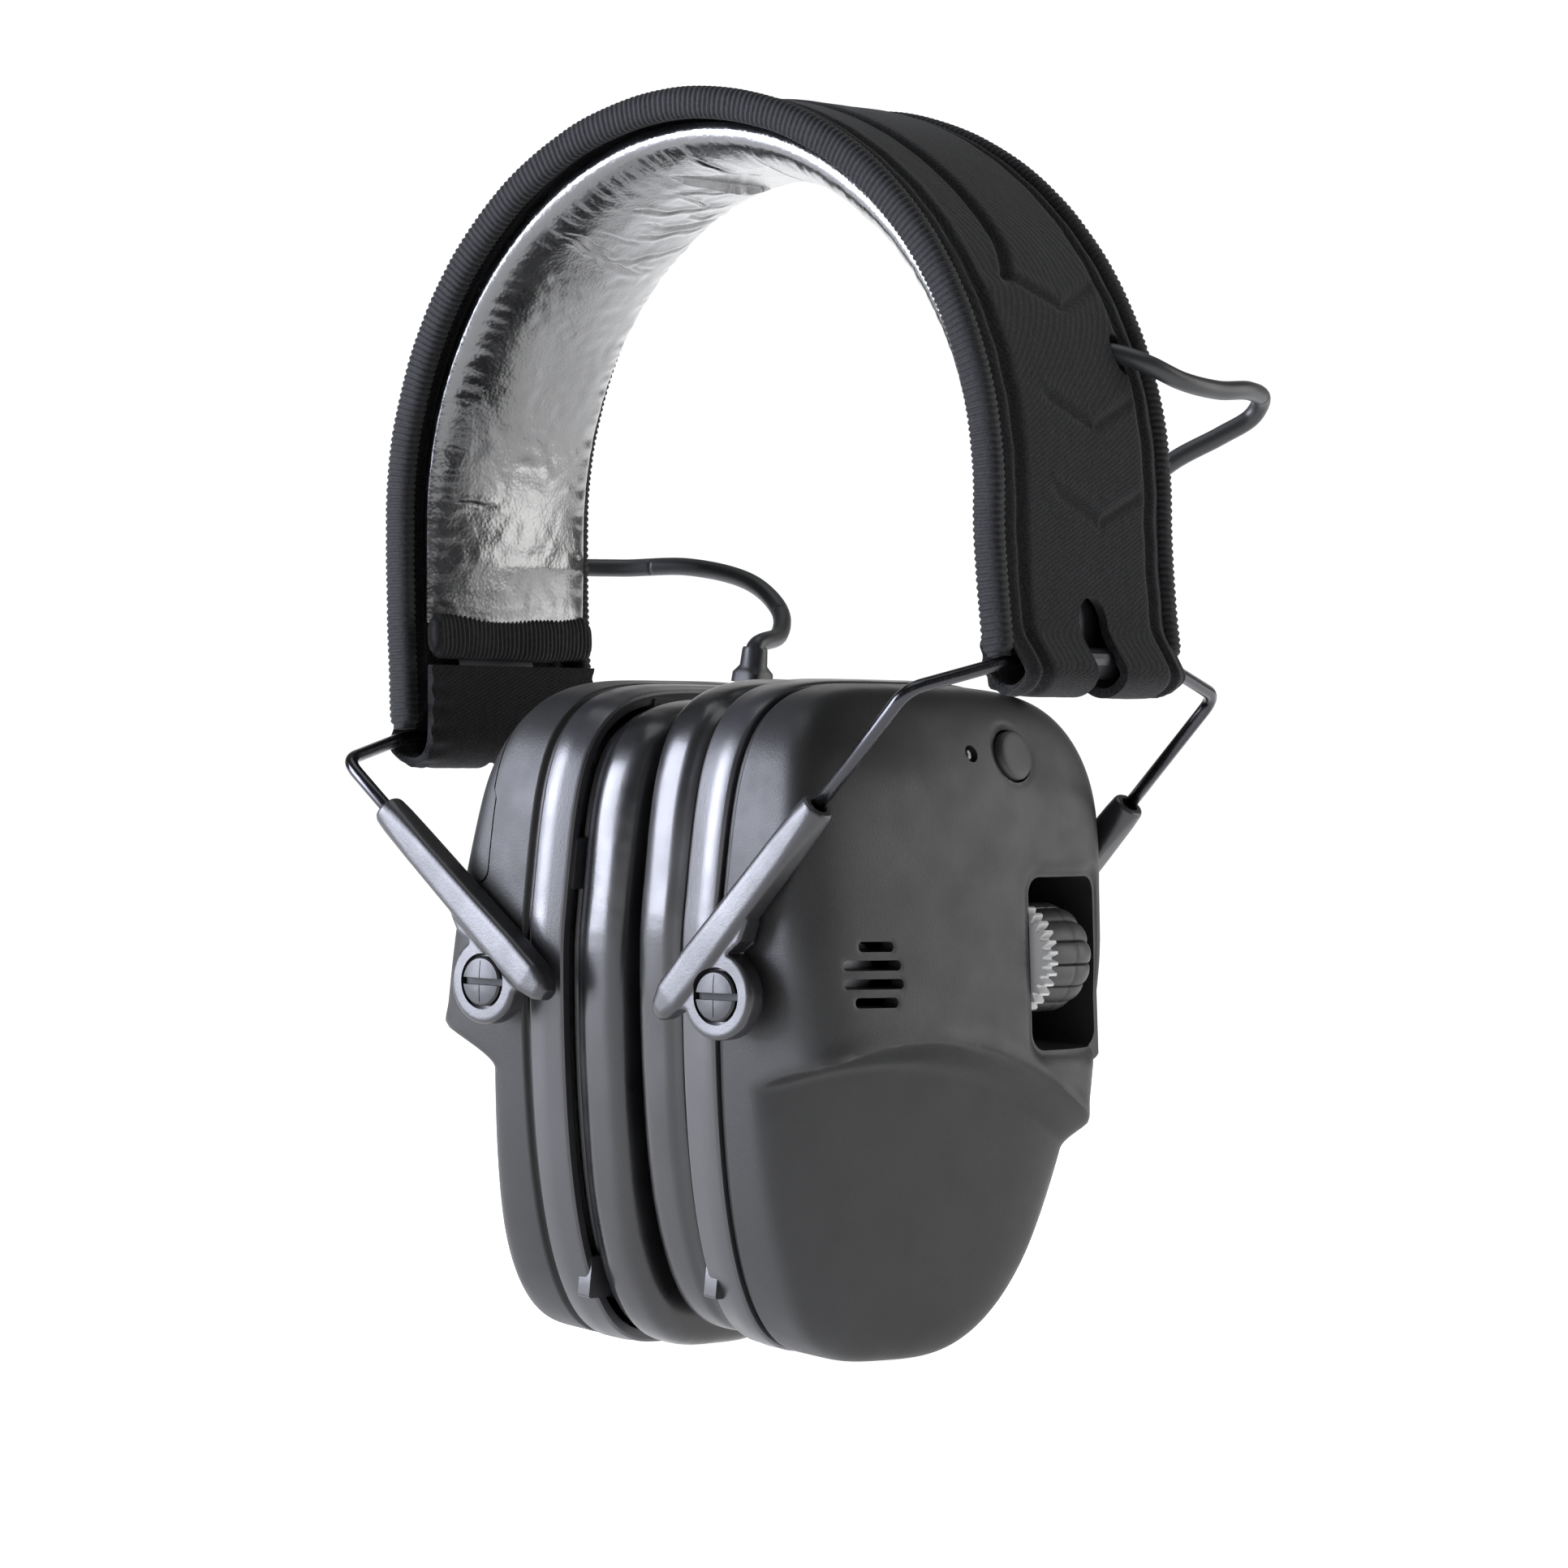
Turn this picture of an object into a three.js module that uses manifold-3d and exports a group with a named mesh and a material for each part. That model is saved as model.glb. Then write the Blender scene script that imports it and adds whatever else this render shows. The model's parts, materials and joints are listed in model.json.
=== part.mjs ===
// Electronic earmuff hearing protector: sprung padded headband, two wire hangers, sliding arms, two cups.
// Millimetres, +Z up, X runs from the left cup (-X) to the right cup (+X), the wearer faces -Y.
import * as THREE from 'three';
import { mergeVertices } from 'three/addons/utils/BufferGeometryUtils.js';
import Module from 'manifold-3d';

const wasm = await Module();
wasm.setup();

// ---- driving dimensions ----
const bandWidth = 47;          // headband across, over both bindings
const archRadiusX = 62.8;      // outer face of the arch, half its width
const archRadiusZ = 65.8;      // outer face of the arch, above its widest level
const archCentreZ = 75;        // widest level of the arch above the cup pivots
const padThickness = 7.4;      // leather pad at the crown
const coverThickness = 1.5;    // knitted cover
const springThickness = 0.8;   // steel strip
const springWidth = 18;
const bindingRadius = 2.2;     // ribbed edge binding
const wireRadius = 1.1;        // hanger wire
const wireLegLength = 38;      // bend to leg end
const rightHinge = [63.2, 50.5];   // hanger pin line in the right band end, X and Z
const leftHinge = [-60, 40];       // hanger pin line in the left band end
const rightPull = 23.8;        // bare wire between bend and arm, right
const leftPull = 12.1;         // bare wire between bend and arm, left
const rightLean = 44.2;        // hanger lean from upright, degrees
const leftLean = 49.9;
const pivotX = 23.2;           // cup pivots from the middle plane
const cupTilt = 6.8;           // both cups lean this much with the longer right hanger, degrees
const cupHalfWidth = 36.4;     // cup outline, front to back
const cupUp = 37.6;            // cup outline above its widest level
const cupDown = 68;            // cup outline below its widest level
const cupMidZ = 10;            // widest level above the pivot
const shellDepth = 17.3;       // pivot line to the outer face at the pivot's height
const wallThickness = 2.2;
const armClearance = 0.7;      // cup wall to arm
const armWidth = 4.4;
const ringDepth = 6.8;
const cushionDepth = 10.2;
const wheelRadius = 9.4;
const buttonRadius = 4;
const screwHeadRadius = 3.9;
const leadRadius = 1.5;
const gap = 0.3;               // clearance between neighbouring pieces

const armIn = cupHalfWidth + armClearance;
const armOut = armIn + armWidth;
const wireHalfSpan = armIn + armWidth / 2 - 0.1;   // hanger legs from the middle plane

// ---- helpers ----
const V = (x, y, z) => new THREE.Vector3(x, y, z);
const rad = (d) => d * Math.PI / 180;

function closed(positions, triangles) {
  // one closed body from points and triangles, turned outward by its signed volume
  let volume = 0;
  for (const [a, b, c] of triangles) {
    volume += positions[a].dot(V(0, 0, 0).crossVectors(positions[b], positions[c]));
  }
  const g = new THREE.BufferGeometry();
  g.setAttribute('position', new THREE.Float32BufferAttribute(positions.flatMap((p) => [p.x, p.y, p.z]), 3));
  g.setIndex(triangles.flatMap(([a, b, c]) => (volume >= 0 ? [a, b, c] : [a, c, b])));
  return g;
}

function loft(rings, loop = false) {
  // joins equal rings of points in order; both ends are capped unless the rings close on themselves
  const n = rings[0].length;
  const positions = rings.flat().map((p) => p.clone());
  const triangles = [];
  const spans = loop ? rings.length : rings.length - 1;
  for (let i = 0; i < spans; i++) {
    const a = i * n;
    const b = ((i + 1) % rings.length) * n;
    for (let j = 0; j < n; j++) {
      const k = (j + 1) % n;
      triangles.push([a + j, b + j, b + k], [a + j, b + k, a + k]);
    }
  }
  if (!loop) {
    for (const [start, flip] of [[0, false], [(rings.length - 1) * n, true]]) {
      const middle = V(0, 0, 0);
      for (let j = 0; j < n; j++) middle.addScaledVector(positions[start + j], 1 / n);
      const m = positions.push(middle) - 1;
      for (let j = 0; j < n; j++) {
        const k = (j + 1) % n;
        triangles.push(flip ? [m, start + k, start + j] : [m, start + j, start + k]);
      }
    }
  }
  return closed(positions, triangles);
}

function tube(points, radius, sides = 8) {
  // round rod along a polyline, its rings carried along without twist
  const rings = [];
  let across = null;
  for (let i = 0; i < points.length; i++) {
    const before = points[Math.max(0, i - 1)];
    const after = points[Math.min(points.length - 1, i + 1)];
    const along = after.clone().sub(before).normalize();
    if (!across) {
      across = V(0, 1, 0).cross(along);
      if (across.length() < 0.1) across = V(1, 0, 0).cross(along);
    }
    across.addScaledVector(along, -across.dot(along)).normalize();
    const other = along.clone().cross(across);
    const r = typeof radius === 'function' ? radius(i / (points.length - 1)) : radius;
    const ring = [];
    for (let j = 0; j < sides; j++) {
      const a = 2 * Math.PI * j / sides;
      ring.push(points[i].clone().addScaledVector(across, r * Math.cos(a))
        .addScaledVector(other, r * Math.sin(a)));
    }
    rings.push(ring);
  }
  return loft(rings);
}

function rounded(corners, radius, steps = 3) {
  // polyline with its inner corners turned into short arcs
  const out = [corners[0]];
  for (let i = 1; i < corners.length - 1; i++) {
    const a = corners[i - 1].clone().sub(corners[i]);
    const b = corners[i + 1].clone().sub(corners[i]);
    const r = Math.min(radius, a.length() / 2, b.length() / 2);
    const p = corners[i].clone().addScaledVector(a.normalize(), r);
    const q = corners[i].clone().addScaledVector(b.normalize(), r);
    for (let k = 0; k <= steps; k++) {
      const t = k / steps;
      out.push(p.clone().multiplyScalar((1 - t) ** 2).addScaledVector(corners[i], 2 * t * (1 - t))
        .addScaledVector(q, t * t));
    }
  }
  out.push(corners[corners.length - 1]);
  return out;
}

function spline(points, count) {
  return new THREE.CatmullRomCurve3(points, false, 'centripetal').getSpacedPoints(count);
}

function solid(geometry) {
  const g = geometry.clone();
  g.deleteAttribute('normal');
  g.deleteAttribute('uv');
  const m = mergeVertices(g, 1e-4);
  return new wasm.Manifold(new wasm.Mesh({
    numProp: 3,
    vertProperties: new Float32Array(m.attributes.position.array),
    triVerts: new Uint32Array(m.index.array),
  }));
}

function surface(body) {
  // short edges are closed up and crumbs left by a cut are dropped
  const bodies = body.simplify(0.002).decompose();
  const mesh = bodies.sort((a, b) => b.volume() - a.volume())[0].getMesh();
  const g = new THREE.BufferGeometry();
  g.setAttribute('position', new THREE.BufferAttribute(new Float32Array(mesh.vertProperties), 3));
  g.setIndex(new THREE.BufferAttribute(new Uint32Array(mesh.triVerts), 1));
  return g;
}

function box(x0, x1, y0, y1, z0, z1) {
  return new THREE.BoxGeometry(x1 - x0, y1 - y0, z1 - z0)
    .translate((x0 + x1) / 2, (y0 + y1) / 2, (z0 + z1) / 2);
}

function rodY(radius, y0, y1, x = 0, z = 0, sides = 24) {
  return new THREE.CylinderGeometry(radius, radius, y1 - y0, sides).translate(x, (y0 + y1) / 2, z);
}

function rodX(radius, x0, x1, y = 0, z = 0, sides = 24) {
  return new THREE.CylinderGeometry(radius, radius, x1 - x0, sides).rotateZ(Math.PI / 2)
    .translate((x0 + x1) / 2, y, z);
}

function mirrored(geometry) {
  // left-hand copy of a cup piece, X reversed and faces turned back out
  const g = geometry.index ? geometry.clone() : mergeVertices(geometry);
  g.deleteAttribute('normal');
  g.deleteAttribute('uv');
  g.scale(-1, 1, 1);
  const ids = g.index.array;
  for (let i = 0; i < ids.length; i += 3) [ids[i + 1], ids[i + 2]] = [ids[i + 2], ids[i + 1]];
  return g;
}

const mats = {};
function paint(name, hex, roughness, metalness = 0) {
  mats[name] = [hex, roughness, metalness];
}
paint('knit', 0x17181a, 0.95);
paint('leather', 0x1b1c1f, 0.35);
paint('binding', 0x1d1e20, 0.8);
paint('steel', 0x8d9096, 0.3, 1);
paint('wire', 0x1a1b1d, 0.3, 0.6);
paint('arm', 0x26282c, 0.5);
paint('shell', 0x2a2a2b, 0.62);
paint('ring', 0x2b2d32, 0.5);
paint('cushion', 0x141519, 0.22);
paint('foam', 0x303236, 0.98);
paint('rubber', 0x2d2e31, 0.5);
paint('screw', 0x131416, 0.4);
paint('board', 0x1d4a33, 0.5);
paint('brass', 0xb08d4a, 0.35, 1);
paint('cell', 0x3b4a5a, 0.35, 0.4);

function add(parent, name, geometry, material, tint = 0) {
  const [hex, roughness, metalness] = mats[material];
  const colour = new THREE.Color(hex);
  colour.offsetHSL(0, 0, tint);
  const g = geometry.clone();
  g.deleteAttribute('uv');
  g.deleteAttribute('normal');
  const mesh = new THREE.Mesh(g, new THREE.MeshStandardMaterial({ color: colour, roughness, metalness }));
  mesh.name = name;
  parent.add(mesh);
  return mesh;
}

// ---- headband ----
// Outer face of the band from the right hanger pin over the crown to the left one, with inward normals.
const arch = [];
const legSteps = 4;
const archSteps = 28;
const rightFoot = V(rightHinge[0] + 1.6, 0, rightHinge[1]);
const leftFoot = V(leftHinge[0] - 1.6, 0, leftHinge[1]);
for (let i = 0; i < legSteps; i++) {
  const t = i / legSteps;
  arch.push(V(rightFoot.x + (archRadiusX - rightFoot.x) * Math.sin(t * Math.PI / 2), 0,
    rightFoot.z + (archCentreZ - rightFoot.z) * t));
}
for (let i = 0; i <= archSteps; i++) {
  const a = Math.PI * i / archSteps;
  arch.push(V(archRadiusX * Math.cos(a), 0, archCentreZ + archRadiusZ * Math.sin(a)));
}
for (let i = legSteps + 1; i >= 0; i--) {
  const t = i / (legSteps + 2);
  arch.push(V(leftFoot.x + (-archRadiusX - leftFoot.x) * Math.sin(t * Math.PI / 2), 0,
    leftFoot.z + (archCentreZ - leftFoot.z) * t));
}
const inward = arch.map((p, i) => {
  const d = arch[Math.min(arch.length - 1, i + 1)].clone().sub(arch[Math.max(0, i - 1)]).normalize();
  return V(-d.z, 0, d.x);
});
const layer = (depth, from = 0, to = arch.length - 1) => {
  const out = [];
  for (let i = from; i <= to; i++) out.push(arch[i].clone().addScaledVector(inward[i], depth));
  return out;
};
const arc = (centre, radius, from, to, steps) => {
  const out = [];
  for (let i = 0; i <= steps; i++) {
    const a = rad(from + (to - from) * i / steps);
    out.push(V(centre[0] + radius * Math.cos(a), 0, centre[1] + radius * Math.sin(a)));
  }
  return out;
};
function extrudeXZ(points, halfWidth) {
  // flat profile in XZ carried across the band
  const shape = new THREE.Shape(points.map((p) => new THREE.Vector2(p.x, p.z)));
  return new THREE.ExtrudeGeometry(shape, { depth: 2 * halfWidth, bevelEnabled: false, steps: 1 })
    .rotateX(Math.PI / 2).translate(0, halfWidth, 0);
}

const fabricHalf = bandWidth / 2 - 2 * bindingRadius - gap;
const springDepth = coverThickness + gap + 0.25;
const leadDepth = coverThickness + gap + leadRadius;
const padTop = leadDepth + leadRadius + gap;
const loopRadius = 5.4;
const tailTop = 11;

// cover: outer skin whose two ends wrap the hanger pins and run back up a short way inside
const coverPath = [
  V(rightHinge[0] - loopRadius, 0, rightHinge[1] + tailTop - 4),
  ...arc(rightHinge, loopRadius, 180, 350, 9),
  ...layer(0, 2, arch.length - 3),
  ...arc(leftHinge, loopRadius, 190, 360, 9),
  V(leftHinge[0] + loopRadius, 0, leftHinge[1] + tailTop - 4),
];
const coverInner = [
  V(rightHinge[0] - loopRadius + coverThickness, 0, rightHinge[1] + tailTop - 4),
  ...arc(rightHinge, loopRadius - coverThickness, 180, 350, 9),
  ...layer(coverThickness, 2, arch.length - 3),
  ...arc(leftHinge, loopRadius - coverThickness, 190, 360, 9),
  V(leftHinge[0] + loopRadius - coverThickness, 0, leftHinge[1] + tailTop - 4),
];
let cover = solid(extrudeXZ([...coverPath, ...coverInner.reverse()], fabricHalf));
const slotHalf = 3.6;
for (const [hx, hz] of [rightHinge, leftHinge]) {
  const slot = solid(box(hx - 12, hx + 12, -slotHalf, slotHalf, hz - 12, hz + 6))
    .add(solid(rodX(slotHalf, hx - 12, hx + 12, 0, hz + 6, 16)));
  cover = cover.subtract(slot);
}
// the lead leaves through a hole in the cover near its rear edge on each side
const slitY = fabricHalf - 5.2;
function onArch(side, z) {
  const rise = (z - archCentreZ) / archRadiusZ;
  return V(side * archRadiusX * Math.sqrt(1 - rise ** 2), slitY, z);
}
const rightSlit = onArch(1, archCentreZ + 25.5);
const leftSlit = onArch(-1, archCentreZ - 1);

// spring: steel strip rolled round both hanger pins
const rollOut = wireRadius + 1.3;
const rollIn = rollOut - springThickness;
const springSkip = 4;
const springEnds = [springSkip, arch.length - 1 - springSkip];
const springFace = [
  ...arc(rightHinge, rollIn, 440, 180, 12),
  ...layer(springDepth, springEnds[0], springEnds[1]),
  ...arc(leftHinge, rollIn, 0, -260, 12),
];
const springFar = [
  ...arc(rightHinge, rollOut, 440, 180, 12),
  ...layer(springDepth + springThickness, springEnds[0], springEnds[1]),
  ...arc(leftHinge, rollOut, 0, -260, 12),
];
const spring = extrudeXZ([...springFace, ...springFar.reverse()], springWidth / 2);

// pad: rounded section swept under the band, thinning to both ends, flat over the crown
const padHalf = fabricHalf;
const padFirst = 3;
const padLast = arch.length - 4;
const flatHalf = 11;
const padRings = [];
let crownZ = 0;
for (let i = padFirst; i <= padLast; i++) {
  const p = arch[i];
  const n = inward[i];
  const fromEnd = Math.min(i - padFirst, padLast - i) / 3;
  const swell = 0.62 + 0.38 * Math.min(1, Math.max(0, (p.z - archCentreZ + 5) / 60));
  const thick = padThickness * swell * Math.min(1, 0.7 + 0.3 * fromEnd);
  const lift = 1.6;
  const section = [
    [-padHalf, padTop], [-padHalf, padTop + 0.45 * thick], [-padHalf + 1.4, padTop + 0.78 * thick],
    [-padHalf + 4.5, padTop + 0.97 * thick], [-flatHalf + 1, padTop + thick],
    [flatHalf - 1, padTop + thick], [padHalf - 4.5, padTop + 0.97 * thick],
    [padHalf - 1.4, padTop + 0.78 * thick], [padHalf, padTop + 0.45 * thick], [padHalf, padTop],
  ];
  padRings.push(section.map(([y, d]) => p.clone().addScaledVector(n, d).setY(y)));
  if (Math.abs(p.x) < 1e-6) crownZ = p.z - padTop - thick;
}
// the crown facet is cut level so the band rests flat on a head or a peg
crownZ += 0.35;
const crownCut = solid(box(-flatHalf, flatHalf, -padHalf - 5, padHalf + 5, crownZ - 20, crownZ));
const pad = surface(solid(loft(padRings)).subtract(crownCut));

function edgeBinding(side) {
  const y = side * (bandWidth / 2 - bindingRadius);
  const path = layer(bindingRadius + 0.2, 1, arch.length - 2).filter((p, i) => i % 2 === 0)
    .map((p) => p.setY(y));
  return tube(path, bindingRadius, 6);
}

function padStrip(i, side) {
  // short binding across the foot of the pad
  const p = arch[i].clone().addScaledVector(inward[i], padTop + 3.4);
  const down = inward[i].clone().cross(V(0, 1, 0)).multiplyScalar(side);
  const centre = p.clone().addScaledVector(down, 5.6);
  const rings = [];
  for (const [y, k] of [[-padHalf, 0.75], [-padHalf + 1, 1], [padHalf - 1, 1], [padHalf, 0.75]]) {
    const ring = [];
    for (let j = 0; j < 12; j++) {
      const a = 2 * Math.PI * j / 12;
      ring.push(centre.clone().addScaledVector(inward[i], 2.0 * k * Math.cos(a))
        .addScaledVector(down, 2.6 * k * Math.sin(a)).setY(y));
    }
    rings.push(ring);
  }
  return loft(rings);
}

// ---- hangers and arms, drawn in a frame whose origin is the hanger pin and whose -Z runs down the legs ----
const hangerDrop = 6.2;      // pin line to the bends
const loopHalf = fabricHalf + 1.2;

function hangerWire() {
  const z = -hangerDrop;
  const corners = [
    V(0, -wireHalfSpan, z - wireLegLength), V(0, -wireHalfSpan, z), V(0, -loopHalf, 0),
    V(0, loopHalf, 0), V(0, wireHalfSpan, z), V(0, wireHalfSpan, z - wireLegLength),
  ];
  return tube(rounded(corners, 2.6, 3), wireRadius, 8);
}

const armTop = 33.8;         // tip to pivot along the bar
const armTail = 10.8;        // pivot to the lower end along the bar
const armOffset = 6.6;       // bar axis to pivot
const bossRadius = 6.6;
const socketRadius = wireRadius + 0.4;

function arm(side, outX) {
  // bar with a blind socket for the wire leg and an offset eye for the cup pivot; origin at the tip
  const yIn = side * armIn;
  const yOut = side * armOut;
  const y0 = Math.min(yIn, yOut);
  const y1 = Math.max(yIn, yOut);
  const yMid = side * wireHalfSpan;
  const rings = [];
  const stations = [[0, 2.2, 2.2], [-1.2, 2.55, 2.2], [-4, 2.55, 2.2], [-20, 2.9, 2.2], [-33, 3.3, 2.2],
    [-40, 3.2, 2.2], [-43.4, 2.2, 2.0], [-armTop - armTail, 1.2, 1.6]];
  for (const [z, wx, wy] of stations) {
    const ring = [];
    for (let j = 0; j < 8; j++) {
      const a = 2 * Math.PI * (j + 0.5) / 8;
      const c = Math.cos(a);
      const s = Math.sin(a);
      ring.push(V(wx * Math.sign(c) * Math.abs(c) ** 0.6, yMid + wy * Math.sign(s) * Math.abs(s) ** 0.6, z));
    }
    rings.push(ring);
  }
  let body = solid(loft(rings));
  body = body.add(solid(rodY(bossRadius, y0, y1, outX * armOffset, -armTop, 22)));
  // web that fills the corner between bar and eye
  const web = new THREE.Shape([
    new THREE.Vector2(0, -armTop + 11),
    new THREE.Vector2(outX * (armOffset + bossRadius * 0.72), -armTop + 4.6),
    new THREE.Vector2(outX * (armOffset + bossRadius * 0.4), -armTop - 4.8),
    new THREE.Vector2(0, -armTop - 7.5),
  ]);
  const webGeo = new THREE.ExtrudeGeometry(web, { depth: y1 - y0 - 0.8, bevelEnabled: false })
    .rotateX(Math.PI / 2).translate(0, y1 - 0.4, 0);
  body = body.add(solid(webGeo));
  body = body.subtract(solid(new THREE.CylinderGeometry(socketRadius, socketRadius, 33, 8)
    .rotateX(Math.PI / 2).translate(0, yMid, 16.5 - 32)));
  const headY = side * (armOut - 1.9);
  const [h0, h1] = [headY, side * 60].sort((p, q) => p - q);
  body = body.subtract(solid(rodY(screwHeadRadius + 0.45, h0, h1, outX * armOffset, -armTop, 18)));
  const [b0, b1] = [side * 30, side * 60].sort((p, q) => p - q);
  body = body.subtract(solid(rodY(2 + gap, b0, b1, outX * armOffset, -armTop, 16)));
  return surface(body);
}

// ---- cup pieces, right-hand, drawn round the pivot: +X outward, the wearer's head at -X ----
function outline(count, inset = 0) {
  const raw = [];
  const at = (phi) => {
    const c = Math.cos(phi);
    const s = Math.sin(phi);
    if (s >= 0) {
      return [cupHalfWidth * Math.sign(c) * Math.abs(c) ** (2 / 4.4), cupMidZ + cupUp * s ** (2 / 4.4)];
    }
    const t = Math.abs(s) ** (2 / 3.4);
    const taper = 1 - 0.3 * t * t / (t + 0.08);
    return [cupHalfWidth * taper * Math.sign(c) * Math.abs(c) ** (2 / 3.4), cupMidZ - cupDown * t];
  };
  // even spacing along the edge
  const fine = [];
  for (let i = 0; i < 720; i++) fine.push(at(2 * Math.PI * i / 720));
  const lengths = [0];
  for (let i = 1; i <= 720; i++) {
    const a = fine[i - 1];
    const b = fine[i % 720];
    lengths.push(lengths[i - 1] + Math.hypot(b[0] - a[0], b[1] - a[1]));
  }
  let k = 0;
  for (let i = 0; i < count; i++) {
    const target = lengths[720] * i / count;
    while (lengths[k + 1] < target) k++;
    const t = (target - lengths[k]) / (lengths[k + 1] - lengths[k] || 1);
    const a = fine[k];
    const b = fine[(k + 1) % 720];
    raw.push([a[0] + (b[0] - a[0]) * t, a[1] + (b[1] - a[1]) * t]);
  }
  return raw.map((p, i) => {
    const a = raw[(i + count - 1) % count];
    const b = raw[(i + 1) % count];
    const l = Math.hypot(b[0] - a[0], b[1] - a[1]);
    return [p[0] - inset * (b[1] - a[1]) / l, p[1] + inset * (b[0] - a[0]) / l];
  });
}

const smooth = (t) => {
  const c = Math.min(1, Math.max(0, t));
  return c * c * (3 - 2 * c);
};

const ridgeZ = (y) => -5.5 - 0.0085 * (y + 11) ** 2;      // brow above the hollow
function faceX(y, z) {
  const crest = 1.2 * (1 - (y / 36) ** 2);
  const upper = shellDepth + 0.06 * y - 0.16 * z + crest - 0.012 * Math.max(0, z - 28) ** 2;
  const lower = 12 + 0.21 * y + 1.6 * (1 - (y / 30) ** 2) - 0.006 * Math.max(0, -38 - z) ** 2;
  const t = smooth((ridgeZ(y) - z) / 8);
  return upper * (1 - t) + lower * t;
}

const baseX = -4.6;
function domed(count, rows, inset, drop, floorX, power = 7) {
  // closed solid under the outer face, rows from the rim to the middle; a dropped one is thicker at the brow
  const fold = (y, z) => (drop ? 2.6 * Math.exp(-(((ridgeZ(y) - 4 - z) / 7) ** 2)) : 0);
  const face = (y, z) => faceX(y, z) - drop - fold(y, z);
  const edge = outline(count, inset);
  const rings = [];
  const centre = [0, -2];
  const bottom = edge.map(([y, z]) => V(floorX, y, z));
  rings.push(bottom);
  for (let i = 0; i < rows; i++) {
    const a = (Math.PI / 2) * (1 - i / rows);
    const r = Math.sin(a) ** (2 / power);
    const h = Math.cos(a) ** (2 / power);
    rings.push(edge.map(([ey, ez]) => {
      const y = centre[0] + (ey - centre[0]) * r;
      const z = centre[1] + (ez - centre[1]) * r;
      const top = face(y, z);
      const low = baseX + 1.5;
      return V(low + (top - low) * h, y, z);
    }));
  }
  for (const r of [0.84, 0.72, 0.6, 0.48, 0.34, 0.16]) {
    rings.push(edge.map(([ey, ez]) => {
      const y = centre[0] + (ey - centre[0]) * r;
      const z = centre[1] + (ez - centre[1]) * r;
      return V(face(y, z), y, z);
    }));
  }
  return loft(rings);
}

function ringBody(count, x0, x1, insetOut, insetIn) {
  const a = outline(count, insetOut);
  const b = outline(count, insetIn);
  const chamfer = 0.5;
  const rings = a.map(([y, z], i) => {
    const [yi, zi] = b[i];
    const k = chamfer / Math.hypot(y - yi, z - zi);
    const yc = y + (yi - y) * k;
    const zc = z + (zi - z) * k;
    return [V(x0, yi, zi), V(x1, yi, zi), V(x1, yc, zc), V(x1 - chamfer, y, z), V(x0 + chamfer, y, z),
      V(x0, yc, zc)];
  });
  return loft(rings, true);
}

function slab(count, inset, x0, x1) {
  const e = outline(count, inset);
  return loft([e.map(([y, z]) => V(x0, y, z)), e.map(([y, z]) => V(x1, y, z))]);
}

const ringX1 = baseX - gap;
const ringX0 = ringX1 - ringDepth;
const plateX1 = ringX0 + 2.2;
const plateX0 = ringX0 - 0.6;
const contactX = -pivotX * Math.cos(rad(cupTilt));
const cushionX0 = contactX + gap / 2;
const cushionX1 = cushionX0 + cushionDepth;
const ringWall = 2;

function cushionBody() {
  const count = 28;
  const out = outline(count, 1.6);
  const inner = outline(count, 17);
  const depth = cushionX1 - cushionX0;
  const section = [[0.06, 1], [0, 0.72], [0.03, 0.3], [0.14, 0.06], [0.34, 0], [0.66, 0], [0.88, 0.08],
    [1, 0.34], [1, 0.75], [0.93, 1]];
  const rings = out.map(([y, z], i) => {
    const [yi, zi] = inner[i];
    return section.map(([s, h]) => V(cushionX0 + depth * h, y + (yi - y) * s, z + (zi - z) * s));
  });
  return loft(rings, true);
}

function plateBody() {
  // carrier plate with six clip tabs that reach the ring
  const e = outline(28, ringWall + 1.6);
  const h = outline(28, 15);
  const rings = e.map(([y, z], i) => {
    const [yi, zi] = h[i];
    return [V(plateX0, yi, zi), V(plateX1, yi, zi), V(plateX1, y, z), V(plateX0, y, z)];
  });
  let body = solid(loft(rings, true));
  const within = solid(slab(28, ringWall + gap, plateX0, plateX1));
  for (const [y, z] of [[-17, 44], [0, 44], [17, 44], [-20, -47], [0, -54], [20, -47], [-33, 20], [33, 20]]) {
    const w = Math.abs(y) > 30 ? [3, 4] : [2.6, 4];
    const tab = solid(box(plateX0, plateX1, y - w[0], y + w[0], z - w[1], z + w[1]));
    body = body.add(tab.intersect(within));
  }
  const hole = solid(slab(28, 15, plateX0 - 1, plateX1 + 1));
  return surface(body.subtract(hole));
}

// wheel pocket in the rear of the right shell
const wheelX = 11.2;
const wheelZ = 6;
const pocketRear = cupHalfWidth - 3.8;
const pocket = { y0: pocketRear - 18.6, y1: pocketRear, z0: wheelZ - 14, z1: wheelZ + 14,
  floor: wheelX - wheelRadius - 0.7 };
const wheelY0 = pocket.y0 + 0.8;
const buttonAt = [12.4, 38.2];
const lensAt = [2.4, 38.4];
const faceLean = rad(20);

function tiltedRod(radius, y, z, from, to, sides = 24) {
  // rod square to the upper face, measured from that face
  const n = V(Math.cos(faceLean), 0, Math.sin(faceLean));
  const c = V(faceX(y, z), y, z).addScaledVector(n, (from + to) / 2);
  const g = new THREE.CylinderGeometry(radius, radius, to - from, sides);
  g.rotateZ(-Math.PI / 2).rotateY(-faceLean);
  return g.translate(c.x, c.y, c.z);
}

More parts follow.
